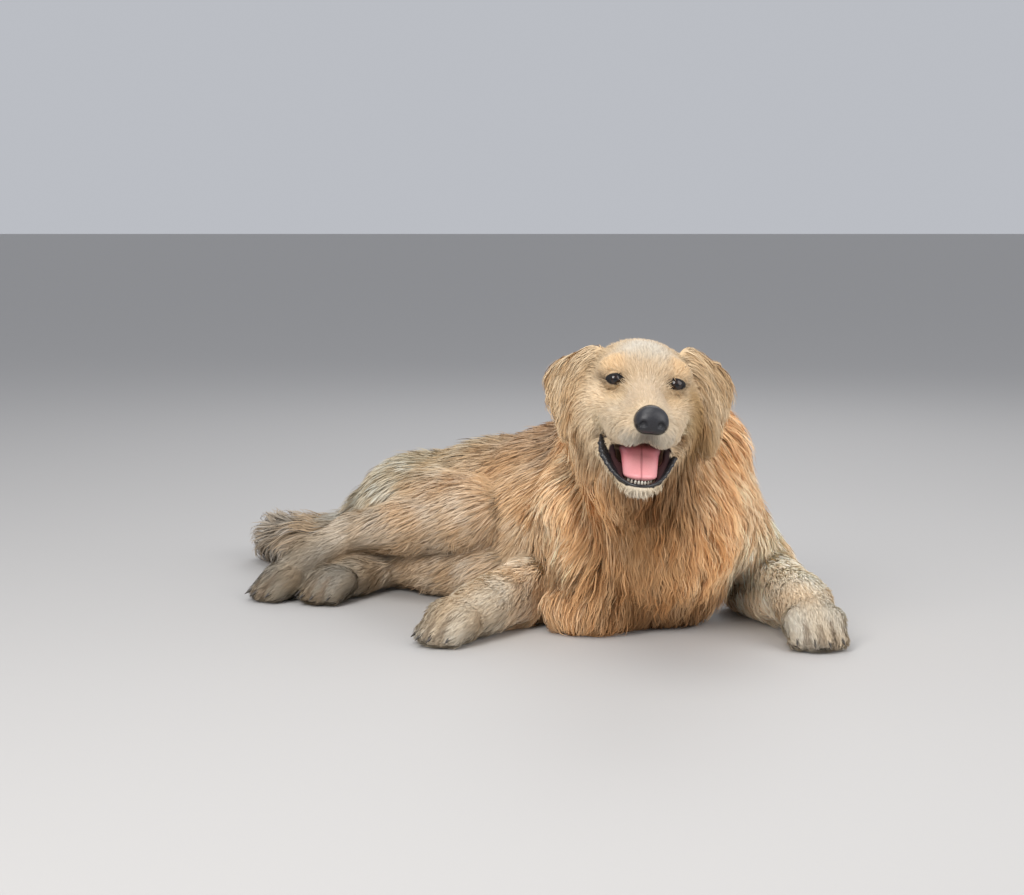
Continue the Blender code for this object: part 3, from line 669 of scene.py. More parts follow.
def settle(mesh, field, rounds, smooth_rounds, most=0.005, share=0.5):
    """Moves a mesh onto a distance field, smoothing it in its first rounds."""
    places, ends = vertex_places(mesh), edge_ends(mesh)
    for turn in range(rounds):
        if turn < smooth_rounds:
            places = relaxed(places, ends, share)
        here, slope = field(places)
        places = places - slope * np.clip(here, -most, most)[:, None]
    set_places(mesh, places)


def refine(obj, centres):
    """Halves the faces within a radius of each centre, as (place, radius)."""
    bm = bmesh.new()
    bm.from_mesh(obj.data)
    marked = set()
    for face in bm.faces:
        middle = face.calc_center_median()
        if any((middle - place).length < radius for place, radius in centres):
            marked.update(face.edges)
    bmesh.ops.subdivide_edges(bm, edges=list(marked), cuts=1, use_grid_fill=True)
    bmesh.ops.triangulate(bm, faces=[f for f in bm.faces if len(f.verts) > 4])
    obj.data = mesh_of(bm, obj.name)


def build_skin():
    skin = seed_mesh(FORMS, VOXEL, "skin")
    places = vertex_places(skin.data)
    depth, _ = depth_at(places)
    settle(skin.data, lambda p: skin_slope(p, depth), 4, 3)
    refine(skin, [(in_head(0, 0.010, -0.045), 0.115)])
    fine = [(in_head(s * EYE_SPREAD, -0.008, 0), 0.022) for s in (-1, 1)]
    fine += [(in_head(0, -0.050, -0.075), 0.052), (in_head(0, -0.010, -0.075), 0.048)]
    refine(skin, fine)
    places = vertex_places(skin.data)
    depth, _ = depth_at(places)
    settle(skin.data, lambda p: skin_slope(p, depth), 5, 3, 0.004, 0.35)
    places = vertex_places(skin.data)
    places[:, 2] = np.maximum(places[:, 2], FLOOR)
    set_places(skin.data, places)
    return skin


# ---------------------------------------------------------------- markings, with painted shade and painted light
UPPER_LIP = [(0.0465, -0.002, -0.064), (0.036, -0.03, -0.0675), (0.023, -0.066, -0.069), (0, -0.093, -0.065)]
LOWER_LIP = [
    (0.0465, -0.002, -0.067), (0.040, -0.016, -0.083), (0.0275, -0.040, -0.101), (0.0145, -0.058, -0.1095),
    (0, -0.0635, -0.1115),
]
LEFT_END = 0.0375  # the lips' corner on the dog's left is under the flew


def line_distance(q, points):
    """Distance from points folded onto the head's left side to a line of straight pieces."""
    folded = q.copy()
    folded[:, 0] = np.abs(folded[:, 0])
    best = np.full(len(q), 9.0)
    for a, b in zip(points, points[1:]):
        best = np.minimum(best, Limb(a, b, 0, 0).distance(folded))
    return best


def inside_mouth(q):
    """Above zero where the head's skin lies inside the open mouth, between the lips."""
    lower = np.array(LOWER_LIP)[::-1]
    half = np.interp(q[:, 1], lower[:, 1], lower[:, 0]) + 0.0025
    half = np.where(q[:, 1] < -0.050, np.interp(-q[:, 1], [0.05, 0.07, 0.095], [0.021, 0.016, 0.004]), half)
    half = np.minimum(np.where(q[:, 1] > -0.002, 0.043, half), np.where(q[:, 0] > 0, LEFT_END, 1))
    low = np.interp(q[:, 1], lower[:, 1], lower[:, 2]) - 0.001
    wedge = np.minimum(np.where(q[:, 1] > -0.035, -0.0605, -0.0630) - q[:, 2], q[:, 2] - low)
    return np.minimum(np.minimum(wedge, half - np.abs(q[:, 0])), q[:, 1] + 0.090)


def mixed(colour, other, share):
    return colour + (np.array(other) - colour) * share[:, None]


def bare_skin(p):
    """(how bare of hair the skin is, how far it is inside the mouth) at each point."""
    q = to_head(p)
    edge = np.interp(np.abs(q[:, 0]), [0.008, 0.022], [0.0030, 0.0060])
    upper = smooth(0.0034, 0.0022, line_distance(q, UPPER_LIP))
    lower = smooth(0.0, -0.0014, line_distance(q, LOWER_LIP) - edge)
    lips = np.maximum(upper, lower) * np.where(q[:, 0] > LEFT_END - 0.001, 0.0, 1.0)
    mouth = smooth(-0.0015, 0.0010, inside_mouth(q))
    rims = np.zeros(len(p))
    for s in (-1, 1):
        near = np.where(q[:, 1] < EYE_BACK + 0.006, almond(q, s), 1.0)
        rims = np.maximum(rims, smooth(0.0019, 0.0011, near))
    nose = smooth(0.0010, -0.0010, NOSE.distance(p) - 0.0012)
    return np.clip(np.maximum(np.maximum(lips, mouth), np.maximum(rims, nose)), 0, 1), mouth


# Spots on the head: place on the head, radius, colour, and how strong the spot is. Some are painted shade and
# painted light, as noted.
BOTH_SIDES = [
    ((0.036, 0.000, 0.016), 0.020, (0.76, 0.52, 0.28), 0.65),  # brow
    ((0.030, -0.012, -0.016), 0.020, (0.70, 0.50, 0.28), 0.5),  # under the eye
    ((0.050, -0.006, -0.048), 0.020, (0.82, 0.72, 0.50), 0.6),  # above the corner of the mouth
    ((0.048, 0.002, -0.062), 0.014, (0.13, 0.07, 0.035), 0.95),  # corner of the mouth
    ((0.018, -0.082, -0.056), 0.018, (0.62, 0.57, 0.48), 0.7),  # beside the nose
    ((0.022, -0.010, 0.004), 0.010, (0.40, 0.27, 0.15), 0.6),  # inner corner of the eye
]
SPOTS = [
    ((0, 0.018, 0.042), 0.050, (0.62, 0.57, 0.48), 0.75),  # forehead
    ((0, -0.045, -0.012), 0.040, (0.64, 0.50, 0.35), 0.7),  # bridge of the nose
    *[((s * x, y, z), *rest) for s in (-1, 1) for (x, y, z), *rest in BOTH_SIDES],
    ((0, -0.092, -0.058), 0.020, (0.16, 0.15, 0.14), 0.8),  # under the nose
    ((0, -0.054, -0.120), 0.024, (0.68, 0.60, 0.48), 0.8),  # chin
    ((0.046, 0.006, -0.058), 0.014, (0.34, 0.19, 0.08), 0.8),  # left corner of the mouth
    # Darker neck hair beneath the right ear, with painted shade under the ear flap.
    ((-0.064, 0.050, -0.058), 0.034, (0.60, 0.42, 0.24), 0.5),  # below the right ear
    # Darker neck hair beneath the left ear, with stronger painted shade under the ear flap and on the side
    # away from the light.
    ((0.066, 0.048, -0.050), 0.044, (0.38, 0.22, 0.085), 0.9),  # below the left ear
    # Painted shade on the cheek on the side away from the light.
    ((0.050, 0.020, -0.030), 0.036, (0.42, 0.25, 0.09), 0.8),  # left cheek
    # Painted light on the cheek on the lit side.
    ((-0.046, 0.012, -0.034), 0.034, (0.92, 0.72, 0.48), 0.75),  # right cheek
]


def head_colours_with_painted_light(colour, q, on_head):
    for place, radius, tint, share in SPOTS:
        near = smooth(radius, radius * 0.35, away_from(q, *place))
        colour = mixed(colour, tint, near * share * on_head)
    for s in (-1, 1):
        near = np.where(q[:, 1] < 0.012, almond(q, s), 1.0)
        colour = mixed(colour, (0.34, 0.23, 0.13), smooth(0.0042, 0.0020, near) * 0.5)
    return colour


def markings_with_painted_light(p, regions):
    """The coat's colour at each point, with its painted shade and painted light, without the strands' own
    differences.
    """
    q = to_head(p)
    x, y, z = p.T
    on_head = smooth(0.16, 0.11, away_from(q, 0, 0.02, -0.03))
    colour = head_colours_with_painted_light(regions @ COLOUR, q, on_head)

    # The chest: deep orange in its middle, with painted shade under the chin and painted shade low in the
    # middle where it meets the floor.
    chest = share_of(regions, "ruff", "chest", "neck", "fringe")
    middle = smooth(0.075, 0.02, np.abs(x + 0.030)) * smooth(0.05, -0.02, y)
    colour = mixed(colour, (0.46, 0.23, 0.09), middle * chest * 0.6 * smooth(0.36, 0.32, z))
    # Painted shade under the chin, across the throat.
    throat = smooth(0.055, 0.015, np.abs(x + 0.020)) * smooth(0.155, 0.215, z) * smooth(0.06, 0.0, y)
    colour = mixed(colour, (0.22, 0.095, 0.033), throat * chest * 0.85)
    cream = smooth(0.070, 0.150, np.abs(x + 0.015)) * smooth(0.10, 0.16, z) * smooth(0.12, 0.02, y)
    colour = mixed(colour, (0.86, 0.66, 0.42), np.clip(cream * chest, 0, 1) * 0.5)
    # Painted shade low on the chest and its feathering, where they meet the floor.
    feather = share_of(regions, "feather")
    low = smooth(0.120, 0.030, z) * smooth(0.095, 0.050, x) * smooth(-0.12, -0.04, x) * (chest + feather)
    colour = mixed(colour, (0.22, 0.10, 0.040), np.clip(low, 0, 1) * 0.9)
    # The left foreleg is the palest, its pale coat brightened with painted light; the hind feet and the low
    # hind legs are darker with painted shade.
    left_foreleg_pale_and_lit = smooth(0.050, 0.085, x) * smooth(0.20, 0.12, y)
    colour = mixed(colour, (1.0, 0.82, 0.58), share_of(regions, "feather", "arm") * left_foreleg_pale_and_lit)
    colour = mixed(colour, (1.0, 0.92, 0.76), share_of(regions, "forearm") * left_foreleg_pale_and_lit)
    # Painted shade on the hind feet, and lighter painted shade low on the hind legs near the floor.
    hind = smooth(0.06, 0.15, y) * share_of(regions, "paw")
    shank = smooth(0.10, 0.20, y) * share_of(regions, "shank", "thigh")
    colour = colour * (1 - 0.48 * hind - 0.10 * shank * smooth(0.13, 0.07, z))[:, None]
    # The top of the back is darker: a deeper gold, with painted shade where the top turns away from the
    # light.
    top = smooth(0.17, 0.23, z) * smooth(0.04, 0.12, y) * (1 - on_head)
    colour = colour * (1 - top[:, None] * np.array((0.36, 0.38, 0.36)))
    # The coat is paler and less golden towards the rump.
    behind = smooth(0.20, 0.32, y) * smooth(0.09, 0.14, z)
    colour = colour * (1 + behind[:, None] * np.array((0.0, 0.15, 0.25)))
    # Soft patches, from cream to peach.
    wander = np.sin(x * 61 + 2 * np.sin(z * 47)) * np.sin(y * 53 + 1.5 * np.sin(x * 39))
    wander = wander * (1 - 0.7 * on_head)
    peach, cream = np.clip(wander, 0, 1), np.clip(-wander, 0, 1)
    colour = colour * (1 - peach[:, None] * np.array((0.02, 0.10, 0.20)))
    colour = colour * (1 + cream[:, None] * np.array((0.03, 0.10, 0.20)))
    # Painted shade in the clefts between the toes.
    dark = smooth(0.0035, 0.0010, gap_distance(p))
    return mixed(colour, (0.24, 0.17, 0.11), dark * 0.6)


# ---------------------------------------------------------------- materials
def nodes_of(name):
    material = bpy.data.materials.new(name)
    material.use_nodes = True
    tree = material.node_tree
    return material, tree, tree.nodes["Principled BSDF"]


def bumps(tree, shader, scale, strength, distance, kind="Noise", output="Fac"):
    """Gives a material fine bumps, and returns the value that makes them."""
    places = tree.nodes.new("ShaderNodeTexCoord")
    texture = tree.nodes.new("ShaderNodeTex" + kind)
    texture.inputs["Scale"].default_value = scale
    if kind == "Noise":
        texture.inputs["Detail"].default_value = 4.0
    bump = tree.nodes.new("ShaderNodeBump")
    bump.inputs["Strength"].default_value = strength
    bump.inputs["Distance"].default_value = distance
    tree.links.new(places.outputs["Object"], texture.inputs["Vector"])
    tree.links.new(texture.outputs[output], bump.inputs["Height"])
    tree.links.new(bump.outputs["Normal"], shader.inputs["Normal"])
    return texture.outputs[output]


def tinted(tree, shader, source, value, low, high):
    """Multiplies a colour by a grey that the value drives between low and high."""
    ramp = tree.nodes.new("ShaderNodeMapRange")
    ramp.inputs["To Min"].default_value = low
    ramp.inputs["To Max"].default_value = high
    scale = tree.nodes.new("ShaderNodeVectorMath")
    scale.operation = "SCALE"
    tree.links.new(value, ramp.inputs["Value"])
    tree.links.new(source, scale.inputs[0])
    tree.links.new(ramp.outputs["Result"], scale.inputs["Scale"])
    tree.links.new(scale.outputs["Vector"], shader.inputs["Base Color"])


def painted(name, roughness, low=0.85, high=1.12, scale=160.0, bump=0.25, distance=0.0006, specular=0.3):
    """A material that takes its colour from the mesh's own 'tone', broken up by fine noise."""
    material, tree, shader = nodes_of(name)
    tone = tree.nodes.new("ShaderNodeAttribute")
    tone.attribute_name = "tone"
    value = bumps(tree, shader, scale, bump, distance)
    tinted(tree, shader, tone.outputs["Color"], value, low, high)
    shader.inputs["Roughness"].default_value = roughness
    shader.inputs["Specular IOR Level"].default_value = specular
    return material


def ramped(tree, shader, value, dark, light):
    """Colours a material between dark and light by a value."""
    ramp = tree.nodes.new("ShaderNodeValToRGB")
    ramp.color_ramp.elements[0].color = (*dark, 1)
    ramp.color_ramp.elements[1].color = (*light, 1)
    tree.links.new(value, ramp.inputs["Fac"])
    tree.links.new(ramp.outputs["Color"], shader.inputs["Base Color"])


def horn(name, scale, strength, distance, dark, light, roughness):
    """A plain bumpy material for lips, teeth and claws."""
    material, tree, shader = nodes_of(name)
    ramped(tree, shader, bumps(tree, shader, scale, strength, distance), dark, light)
    shader.inputs["Roughness"].default_value = roughness
    return material


def set_tone(mesh, colours):
    tone = mesh.color_attributes.new("tone", "FLOAT_COLOR", "POINT")
    flat = np.ones((len(colours), 4), np.float32)
    flat[:, :3] = np.clip(colours, 0, 1)
    tone.data.foreach_set("color", flat.ravel())


def finish_piece(obj, material, slot, *replaced):
    """Moves a piece into the row frame, and gives it its material and place in the frame. slot is not used.
    """
    obj.data.transform(Matrix.Translation(SHIFT))
    obj.data.materials.clear()
    obj.data.materials.append(material)
    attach(obj, "root")
    if replaced:
        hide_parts(*replaced)
    return obj


def smooth_shaded(obj):
    obj.data.polygons.foreach_set("use_smooth", [True] * len(obj.data.polygons))


def eye_middle():
    middles = []
    for name in ("eye_left", "eye_right"):
        low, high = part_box(name)
        middles.append((Vector(low) + Vector(high)) / 2)
    return (middles[0] + middles[1]) / 2


SHIFT = eye_middle() - in_head(0, EYE_BACK, 0)


# ---------------------------------------------------------------- nose, mouth and eyes
def nose_form():
    parts = [
        Lump(in_head(0.0025, -0.0880, -0.0335), (0.0172, 0.0135, 0.0150), HEAD),
        Lump(in_head(0.0104, -0.0885, -0.0370), (0.0105, 0.0120, 0.0115), HEAD),
        Lump(in_head(-0.0050, -0.0885, -0.0370), (0.0105, 0.0120, 0.0115), HEAD),
    ]
    return Form(parts, 0.005)


NOSE = nose_form()


def nose_distance(p):
    """The nose leather, with its nostrils, their side slits and the groove down its middle."""
    d = NOSE.distance(p)
    q = to_head(p)
    for s in (-1, 1):
        x = 0.0026 + s * 0.0092
        hole = Lump((x + s * 0.0006, -0.1075, -0.0385), (0.0050, 0.0120, 0.0044))
        slit = Limb((x + s * 0.003, -0.0985, -0.0400), (x + s * 0.0090, -0.0890, -0.0440), 0.0020, 0.0014)
        d = -blend(-d, hole.distance(q), 0.0022)
        d = -blend(-d, slit.distance(q), 0.0020)
    groove = Limb((0.0025, -0.1030, -0.0350), (0.0025, -0.1000, -0.0500), 0.0009, 0.0013)
    return -blend(-d, groove.distance(q), 0.0022)


def build_nose():
    obj = seed_mesh([NOSE], 0.0008, "nose_leather")
    settle(obj.data, slope_of(nose_distance), 6, 4, 0.002, 0.4)
    smooth_shaded(obj)
    material, tree, shader = nodes_of("nose_leather")
    shader.inputs["Roughness"].default_value = 0.40
    shader.inputs["Specular IOR Level"].default_value = 0.5
    pebbles = bumps(tree, shader, 900, 0.35, 0.0004, "Voronoi", "Distance")
    ramped(tree, shader, pebbles, (0.008, 0.008, 0.010), (0.024, 0.024, 0.029))
    return finish_piece(obj, material, "nose", "nose")


def build_eye(s):
    """An eyeball with its clear bulge, brown iris and black pupil."""
    name = "eye_left" if s > 0 else "eye_right"
    bm = bmesh.new()
    bmesh.ops.create_uvsphere(bm, u_segments=48, v_segments=36, radius=1.0)
    gaze = Vector((s * 0.05, -1.0, -0.02)).normalized()
    turn = gaze.to_track_quat("Z", "Y").to_matrix()
    tones = []
    for vert in bm.verts:
        away = math.acos(max(-1, min(1, vert.co.z)))
        bulge = 1 + 0.045 * math.exp(-((away / 0.50) ** 4))
        if away < 0.22:
            tone = (0.003, 0.003, 0.004)
        elif away < 0.60:
            share = (away - 0.22) / 0.38
            tone = (0.022 - 0.017 * share, 0.008 - 0.006 * share, 0.003 - 0.001 * share)
        else:
            tone = (0.016, 0.010, 0.009)
        tones.append(tone)
        vert.co = turn @ (vert.co * EYE_RADIUS * bulge * 0.985) + Vector((s * EYE_SPREAD, EYE_BACK, 0))
        vert.co = HEAD @ vert.co
    obj = new_object(name + "_ball", mesh_of(bm, name))
    set_tone(obj.data, np.array(tones))
    smooth_shaded(obj)
    material = painted(name, 0.06, 0.8, 1.2, 900, 0.0, 0.0001, 0.4)
    shader = material.node_tree.nodes["Principled BSDF"]
    shader.inputs["Coat Weight"].default_value = 0.3
    shader.inputs["Coat Roughness"].default_value = 0.02
    return finish_piece(obj, material, name, name)


def build_tongue():
    up = HEAD.col[2].xyz
    back, bend, tip = in_head(0, 0.026, -0.0620), in_head(0, -0.014, -0.0765), in_head(0, -0.045, -0.1010)
    parts = [Limb(back, bend, 0.0180, 0.0222, up, 0.36), Limb(bend, tip, 0.0222, 0.0190, up, 0.34)]
    form = Form(parts, 0.006)
    groove = Limb((0, 0.010, -0.0600), (0, -0.052, -0.0975), 0.0010, 0.0006)

    def distance(p):
        return -blend(-form.distance(p), groove.distance(to_head(p)), 0.0055)

    obj = seed_mesh([form], 0.0014, "tongue_flesh")
    settle(obj.data, slope_of(distance), 6, 4, 0.002, 0.4)
    smooth_shaded(obj)
    q = to_head(vertex_places(obj.data))
    tone = np.tile(np.array((0.66, 0.20, 0.22)), (len(q), 1))
    tone = mixed(tone, (0.80, 0.34, 0.35), smooth(-0.030, -0.048, q[:, 1]))
    # Painted shade towards the back of the tongue, deep in the mouth.
    tone = mixed(tone, (0.10, 0.020, 0.022), smooth(-0.038, -0.012, q[:, 1]))
    # Painted shade along the groove down the tongue's middle.
    tone = mixed(tone, (0.30, 0.07, 0.09), smooth(0.0016, 0.0003, np.abs(q[:, 0])) * 0.7)
    set_tone(obj.data, tone)
    material = painted("tongue", 0.34, 0.88, 1.1, 700, 0.35, 0.0003, 0.5)
    return finish_piece(obj, material, "tongue", "tongue")


def curve_points(points, count):
    """Points spread evenly along a smooth line through the given ones."""
    points = [np.array(p, float) for p in points]
    padded = [2 * points[0] - points[1]] + points + [2 * points[-1] - points[-2]]
    dense = []
    for k in range(1, len(padded) - 2):
        a, b, c, d = padded[k - 1 : k + 3]
        for t in np.linspace(0, 1, 24, endpoint=False):
            bend, twist = 2 * a - 5 * b + 4 * c - d, 3 * b - a - 3 * c + d
            dense.append(0.5 * (2 * b + (c - a) * t + bend * t**2 + twist * t**3))
    dense = np.array(dense + [points[-1]])
    run = np.concatenate([[0], np.cumsum(np.linalg.norm(np.diff(dense, axis=0), axis=1))])
    spread = np.linspace(0, run[-1], count)
    return np.stack([np.interp(spread, run, dense[:, k]) for k in range(3)], axis=1)


def both_sides(points):
    """The line mirrored to the head's right and joined into one, from right to left."""
    left = [np.array(p, float) for p in points]
    right = [p * np.array((-1, 1, 1)) for p in left]
    return right + left[::-1][1:] if left[-1][0] == 0 else right + left[::-1]


def tube(bm, points, radius_at, sides=10):
    """A closed tube along the points, in the head's axes. radius_at gives (across, up) for each index."""
    rings = []
    for k, point in enumerate(points):
        ahead = points[min(k + 1, len(points) - 1)] - points[max(k - 1, 0)]
        ahead = Vector(ahead).normalized()
        across_ring = ahead.cross(Vector((0, 0, 1))).normalized()
        up = across_ring.cross(ahead)
        wide, tall = radius_at(k)
        ring = []
        for j in range(sides):
            a = 2 * math.pi * j / sides
            place = Vector(point) + across_ring * math.cos(a) * wide + up * math.sin(a) * tall
            ring.append(bm.verts.new(HEAD @ place))
        rings.append(ring)
    for a, b in zip(rings, rings[1:]):
        for j in range(sides):
            bm.faces.new((a[j], a[(j + 1) % sides], b[(j + 1) % sides], b[j]))
    bm.faces.new(rings[0][::-1])
    bm.faces.new(rings[-1])


LIP_RINGS = 130
LIP_AT = (0, 0.06, 0.18, 0.34, 0.47, 0.60, 0.75, 0.95, 1)
LIP_WIDTH = (0.0010, 0.0040, 0.0064, 0.0052, 0.0020, 0.0020, 0.0034, 0.0036, 0.0010)


def build_lips():
    """The black lower lip, broad and notched along the side of the open mouth."""
    bm = bmesh.new()
    inner = both_sides(LOWER_LIP)[1:-1]
    line = [(-0.0440, 0.006, -0.0655), *inner, (LEFT_END, -0.020, -0.0850)]
    line = curve_points(line, LIP_RINGS)

    def radius(k):
        t = k / (LIP_RINGS - 1)
        wide = np.interp(t, LIP_AT, LIP_WIDTH)
        fold = math.sin(k * 0.83) + 0.7 * math.sin(k * 1.37 + 1) + 0.5 * math.sin(k * 2.1)
        notch = 1 + 0.11 * fold * (1 - math.exp(-(((t - 0.5) / 0.14) ** 2)))
        return wide * notch, 0.0012 + wide * 0.38

    tube(bm, line, radius, 12)
    bmesh.ops.recalc_face_normals(bm, faces=bm.faces[:])
    obj = new_object("lips", mesh_of(bm, "lips"))
    smooth_shaded(obj)
    material = horn("lips", 600, 0.4, 0.0004, (0.006, 0.006, 0.007), (0.028, 0.026, 0.028), 0.26)
    return finish_piece(obj, material, "jaw")


def build_teeth():
    """Six lower incisors between two canines."""
    bm = bmesh.new()
    for place in (-3.4, -2.5, -1.5, -0.5, 0.5, 1.5, 2.5, 3.4):
        canine = abs(place) > 3
        tall, wide = (0.0110, 0.0024) if canine else (0.0060, 0.0017)
        y = -0.0590 + 0.0010 * place * place
        at = HEAD @ Matrix.Translation((place * 0.0036, y, -0.1085 + (0.0025 if canine else 0)))
        lean = Matrix.Rotation(math.radians(18), 4, "X")
        ball = bmesh.ops.create_uvsphere(bm, u_segments=12, v_segments=8, radius=1.0)
        for vert in ball["verts"]:
            z = (vert.co.z + 1) / 2
            taper = wide * ((1 - 0.75 * z) if canine else (1 - 0.25 * z))
            vert.co = at @ lean @ Vector((vert.co.x * taper, vert.co.y * 0.8 * taper, (z - 0.5) * tall))
    obj = new_object("teeth", mesh_of(bm, "teeth"))
    smooth_shaded(obj)
    material = horn("teeth", 500, 0.1, 0.0002, (0.62, 0.55, 0.42), (0.86, 0.83, 0.76), 0.22)
    return finish_piece(obj, material, "jaw")


def build_claws():
    """Curved dark claws in place of the CAD ones, one piece for each paw."""
    material = horn("claws", 400, 0.2, 0.0002, (0.018, 0.015, 0.013), (0.10, 0.085, 0.07), 0.35)
    for limb in LIMBS:
        bm = bmesh.new()
        for knuckle, end in toes_of(limb):
            ahead = Vector(end - knuckle).normalized()
            ahead.z = 0
            root = end + ahead * 0.0035 + Vector((0, 0, 0.0035))
            ahead.z = -0.10
            turn = Matrix.Translation(root) @ ahead.to_track_quat("Y", "Z").to_matrix().to_4x4()
            ball = bmesh.ops.create_uvsphere(bm, u_segments=12, v_segments=12, radius=1.0)
            for vert in ball["verts"]:
                along = (vert.co.z + 1) / 2
                girth = 0.0034 * (1.1 - 0.8 * along)
                droop = -0.25 * CLAW_LENGTH * along * along
                across_claw, up = -vert.co.x * girth * 0.75, vert.co.y * girth + droop
                vert.co = turn @ Vector((across_claw, along * CLAW_LENGTH, up))
                vert.co.z = max(vert.co.z, FLOOR)
        obj = new_object("claws_" + limb, mesh_of(bm, "claws_" + limb))
        smooth_shaded(obj)
        finish_piece(obj, material, f"claw_{limb}_1", *[f"claw_{limb}_{n}" for n in range(1, 5)])


# ---------------------------------------------------------------- the coat
GUIDE_STEPS = 6
GUIDE_SPACING = 0.0075
WAVE_LENGTH = 0.042
MAP_PATCH = 0.003  # size of a strand's patch on the map
COAT_PIECES = {  # piece: its slot, and then its regions
    "coat_face": ("head", "crown", "face", "muzzle", "flew", "jaw"),
    "coat_cheeks": ("head", "cheek"),
    "coat_ears": ("ear_left", "ear"),
    "coat_neck": ("neck", "neck"),
    "coat_ruff": ("chest", "ruff"),
    "coat_chest": ("chest", "chest", "fringe"),
    "coat_back": ("chest", "back", "side"),
    "coat_belly": ("belly", "flank", "belly"),
    "coat_rump": ("rump", "rump"),
    "coat_thighs": ("hind_right_thigh", "thigh", "shank"),
    "coat_forelegs": ("fore_left_upper", "arm", "forearm", "feather"),
    "coat_paws": ("fore_left_paw", "paw"),
    "coat_tail": ("tail", "tail"),
}
# The pieces whose strands are lifted where they would dip into the skin.
CAREFUL = ("coat_face", "coat_cheeks", "coat_ears", "coat_paws", "coat_forelegs", "coat_thighs")


class Surface:
    """The skin's mesh, with its normal, depth of coat, regions and bareness at each vertex."""

    def __init__(self, mesh):
        self.mesh = mesh
        self.places, self.normals = vertex_places(mesh), vertex_places(mesh, "normal")
        self.depth, self.regions = depth_at(self.places)
        self.bare, self.mouth = bare_skin(self.places)


def lie_at(p, weights):
    """The lie of the hair at each point, before it is laid along the skin."""
    away = p - NOSE_TIP
    away /= np.maximum(np.linalg.norm(away, axis=1, keepdims=True), 1e-6)
    lie = weights @ LIE_FIXED + away * (weights @ LIE_NOSE)[:, None]
    sideways = np.clip((p[:, 0] + 0.020) / 0.10, -1, 1) * (weights @ LIE_SPREAD)
    lie[:, 0] += sideways * 0.35
    return lie


def spots_on(mesh, places, rate, generator):
    """Random spots on the mesh, as (corners, shares). rate is the spots per square metre at each vertex."""
    mesh.calc_loop_triangles()
    count = len(mesh.loop_triangles)
    corners = np.empty(count * 3, np.int32)
    mesh.loop_triangles.foreach_get("vertices", corners)
    corners = corners.reshape(-1, 3)
    a, b, c = places[corners[:, 0]], places[corners[:, 1]], places[corners[:, 2]]
    cross = np.cross(b - a, c - a)
    area = np.linalg.norm(cross, axis=1) / 2
    wanted = area * rate[corners].mean(axis=1)
    number = np.floor(wanted + generator.random(count)).astype(int)
    chosen = np.repeat(np.arange(count), number)
    r1, r2 = generator.random(len(chosen)), generator.random(len(chosen))
    flip = r1 + r2 > 1
    r1[flip], r2[flip] = 1 - r1[flip], 1 - r2[flip]
    return corners[chosen], np.stack([1 - r1 - r2, r1, r2], axis=1)


def at_spots(values, corners, shares):
    return sum(values[corners[:, k]] * shares[:, k : k + 1] for k in range(3))


def flow(p, length, height, depth):
    """Paths from p along the lie of the hair, rising to height above the skin."""
    path = [p]
    for k in range(GUIDE_STEPS):
        _, distances = part_distances(p)
        weights, _ = region_weights(distances, p)
        here, slope = skin_slope(p, depth)
        lie = lie_at(p, weights)
        along = unit(lie - slope * np.sum(lie * slope, axis=1, keepdims=True))
        hangs = smooth(-0.05, -0.45, slope[:, 2]) * smooth(0.030, 0.045, length) * 0.62
        along = unit(along * (1 - hangs)[:, None] + np.array((0, 0, -1.0)) * hangs[:, None])
        t = (k + 1) / GUIDE_STEPS
        p = p + along * (length / GUIDE_STEPS)[:, None]
        target = height * (1 - (1 - t) ** 2)
        here, slope = skin_slope(p, depth)
        p = p + slope * np.clip(target - here, -0.02 * (1 - hangs), 0.02)[:, None]
        p[:, 2] = np.maximum(p[:, 2], FLOOR + 0.0012)
        path.append(p)
    return np.stack(path, axis=1)


class Spots:
    """Random spots on the skin, with the skin's normal, regions and depth of coat at each."""

    def __init__(self, surface, rate, generator):
        corners, shares = spots_on(surface.mesh, surface.places, rate, generator)
        self.root = at_spots(surface.places, corners, shares)
        self.normal = unit(at_spots(surface.normals, corners, shares))
        self.region = at_spots(surface.regions, corners, shares)
        self.depth = at_spots(surface.depth[:, None], corners, shares)[:, 0]


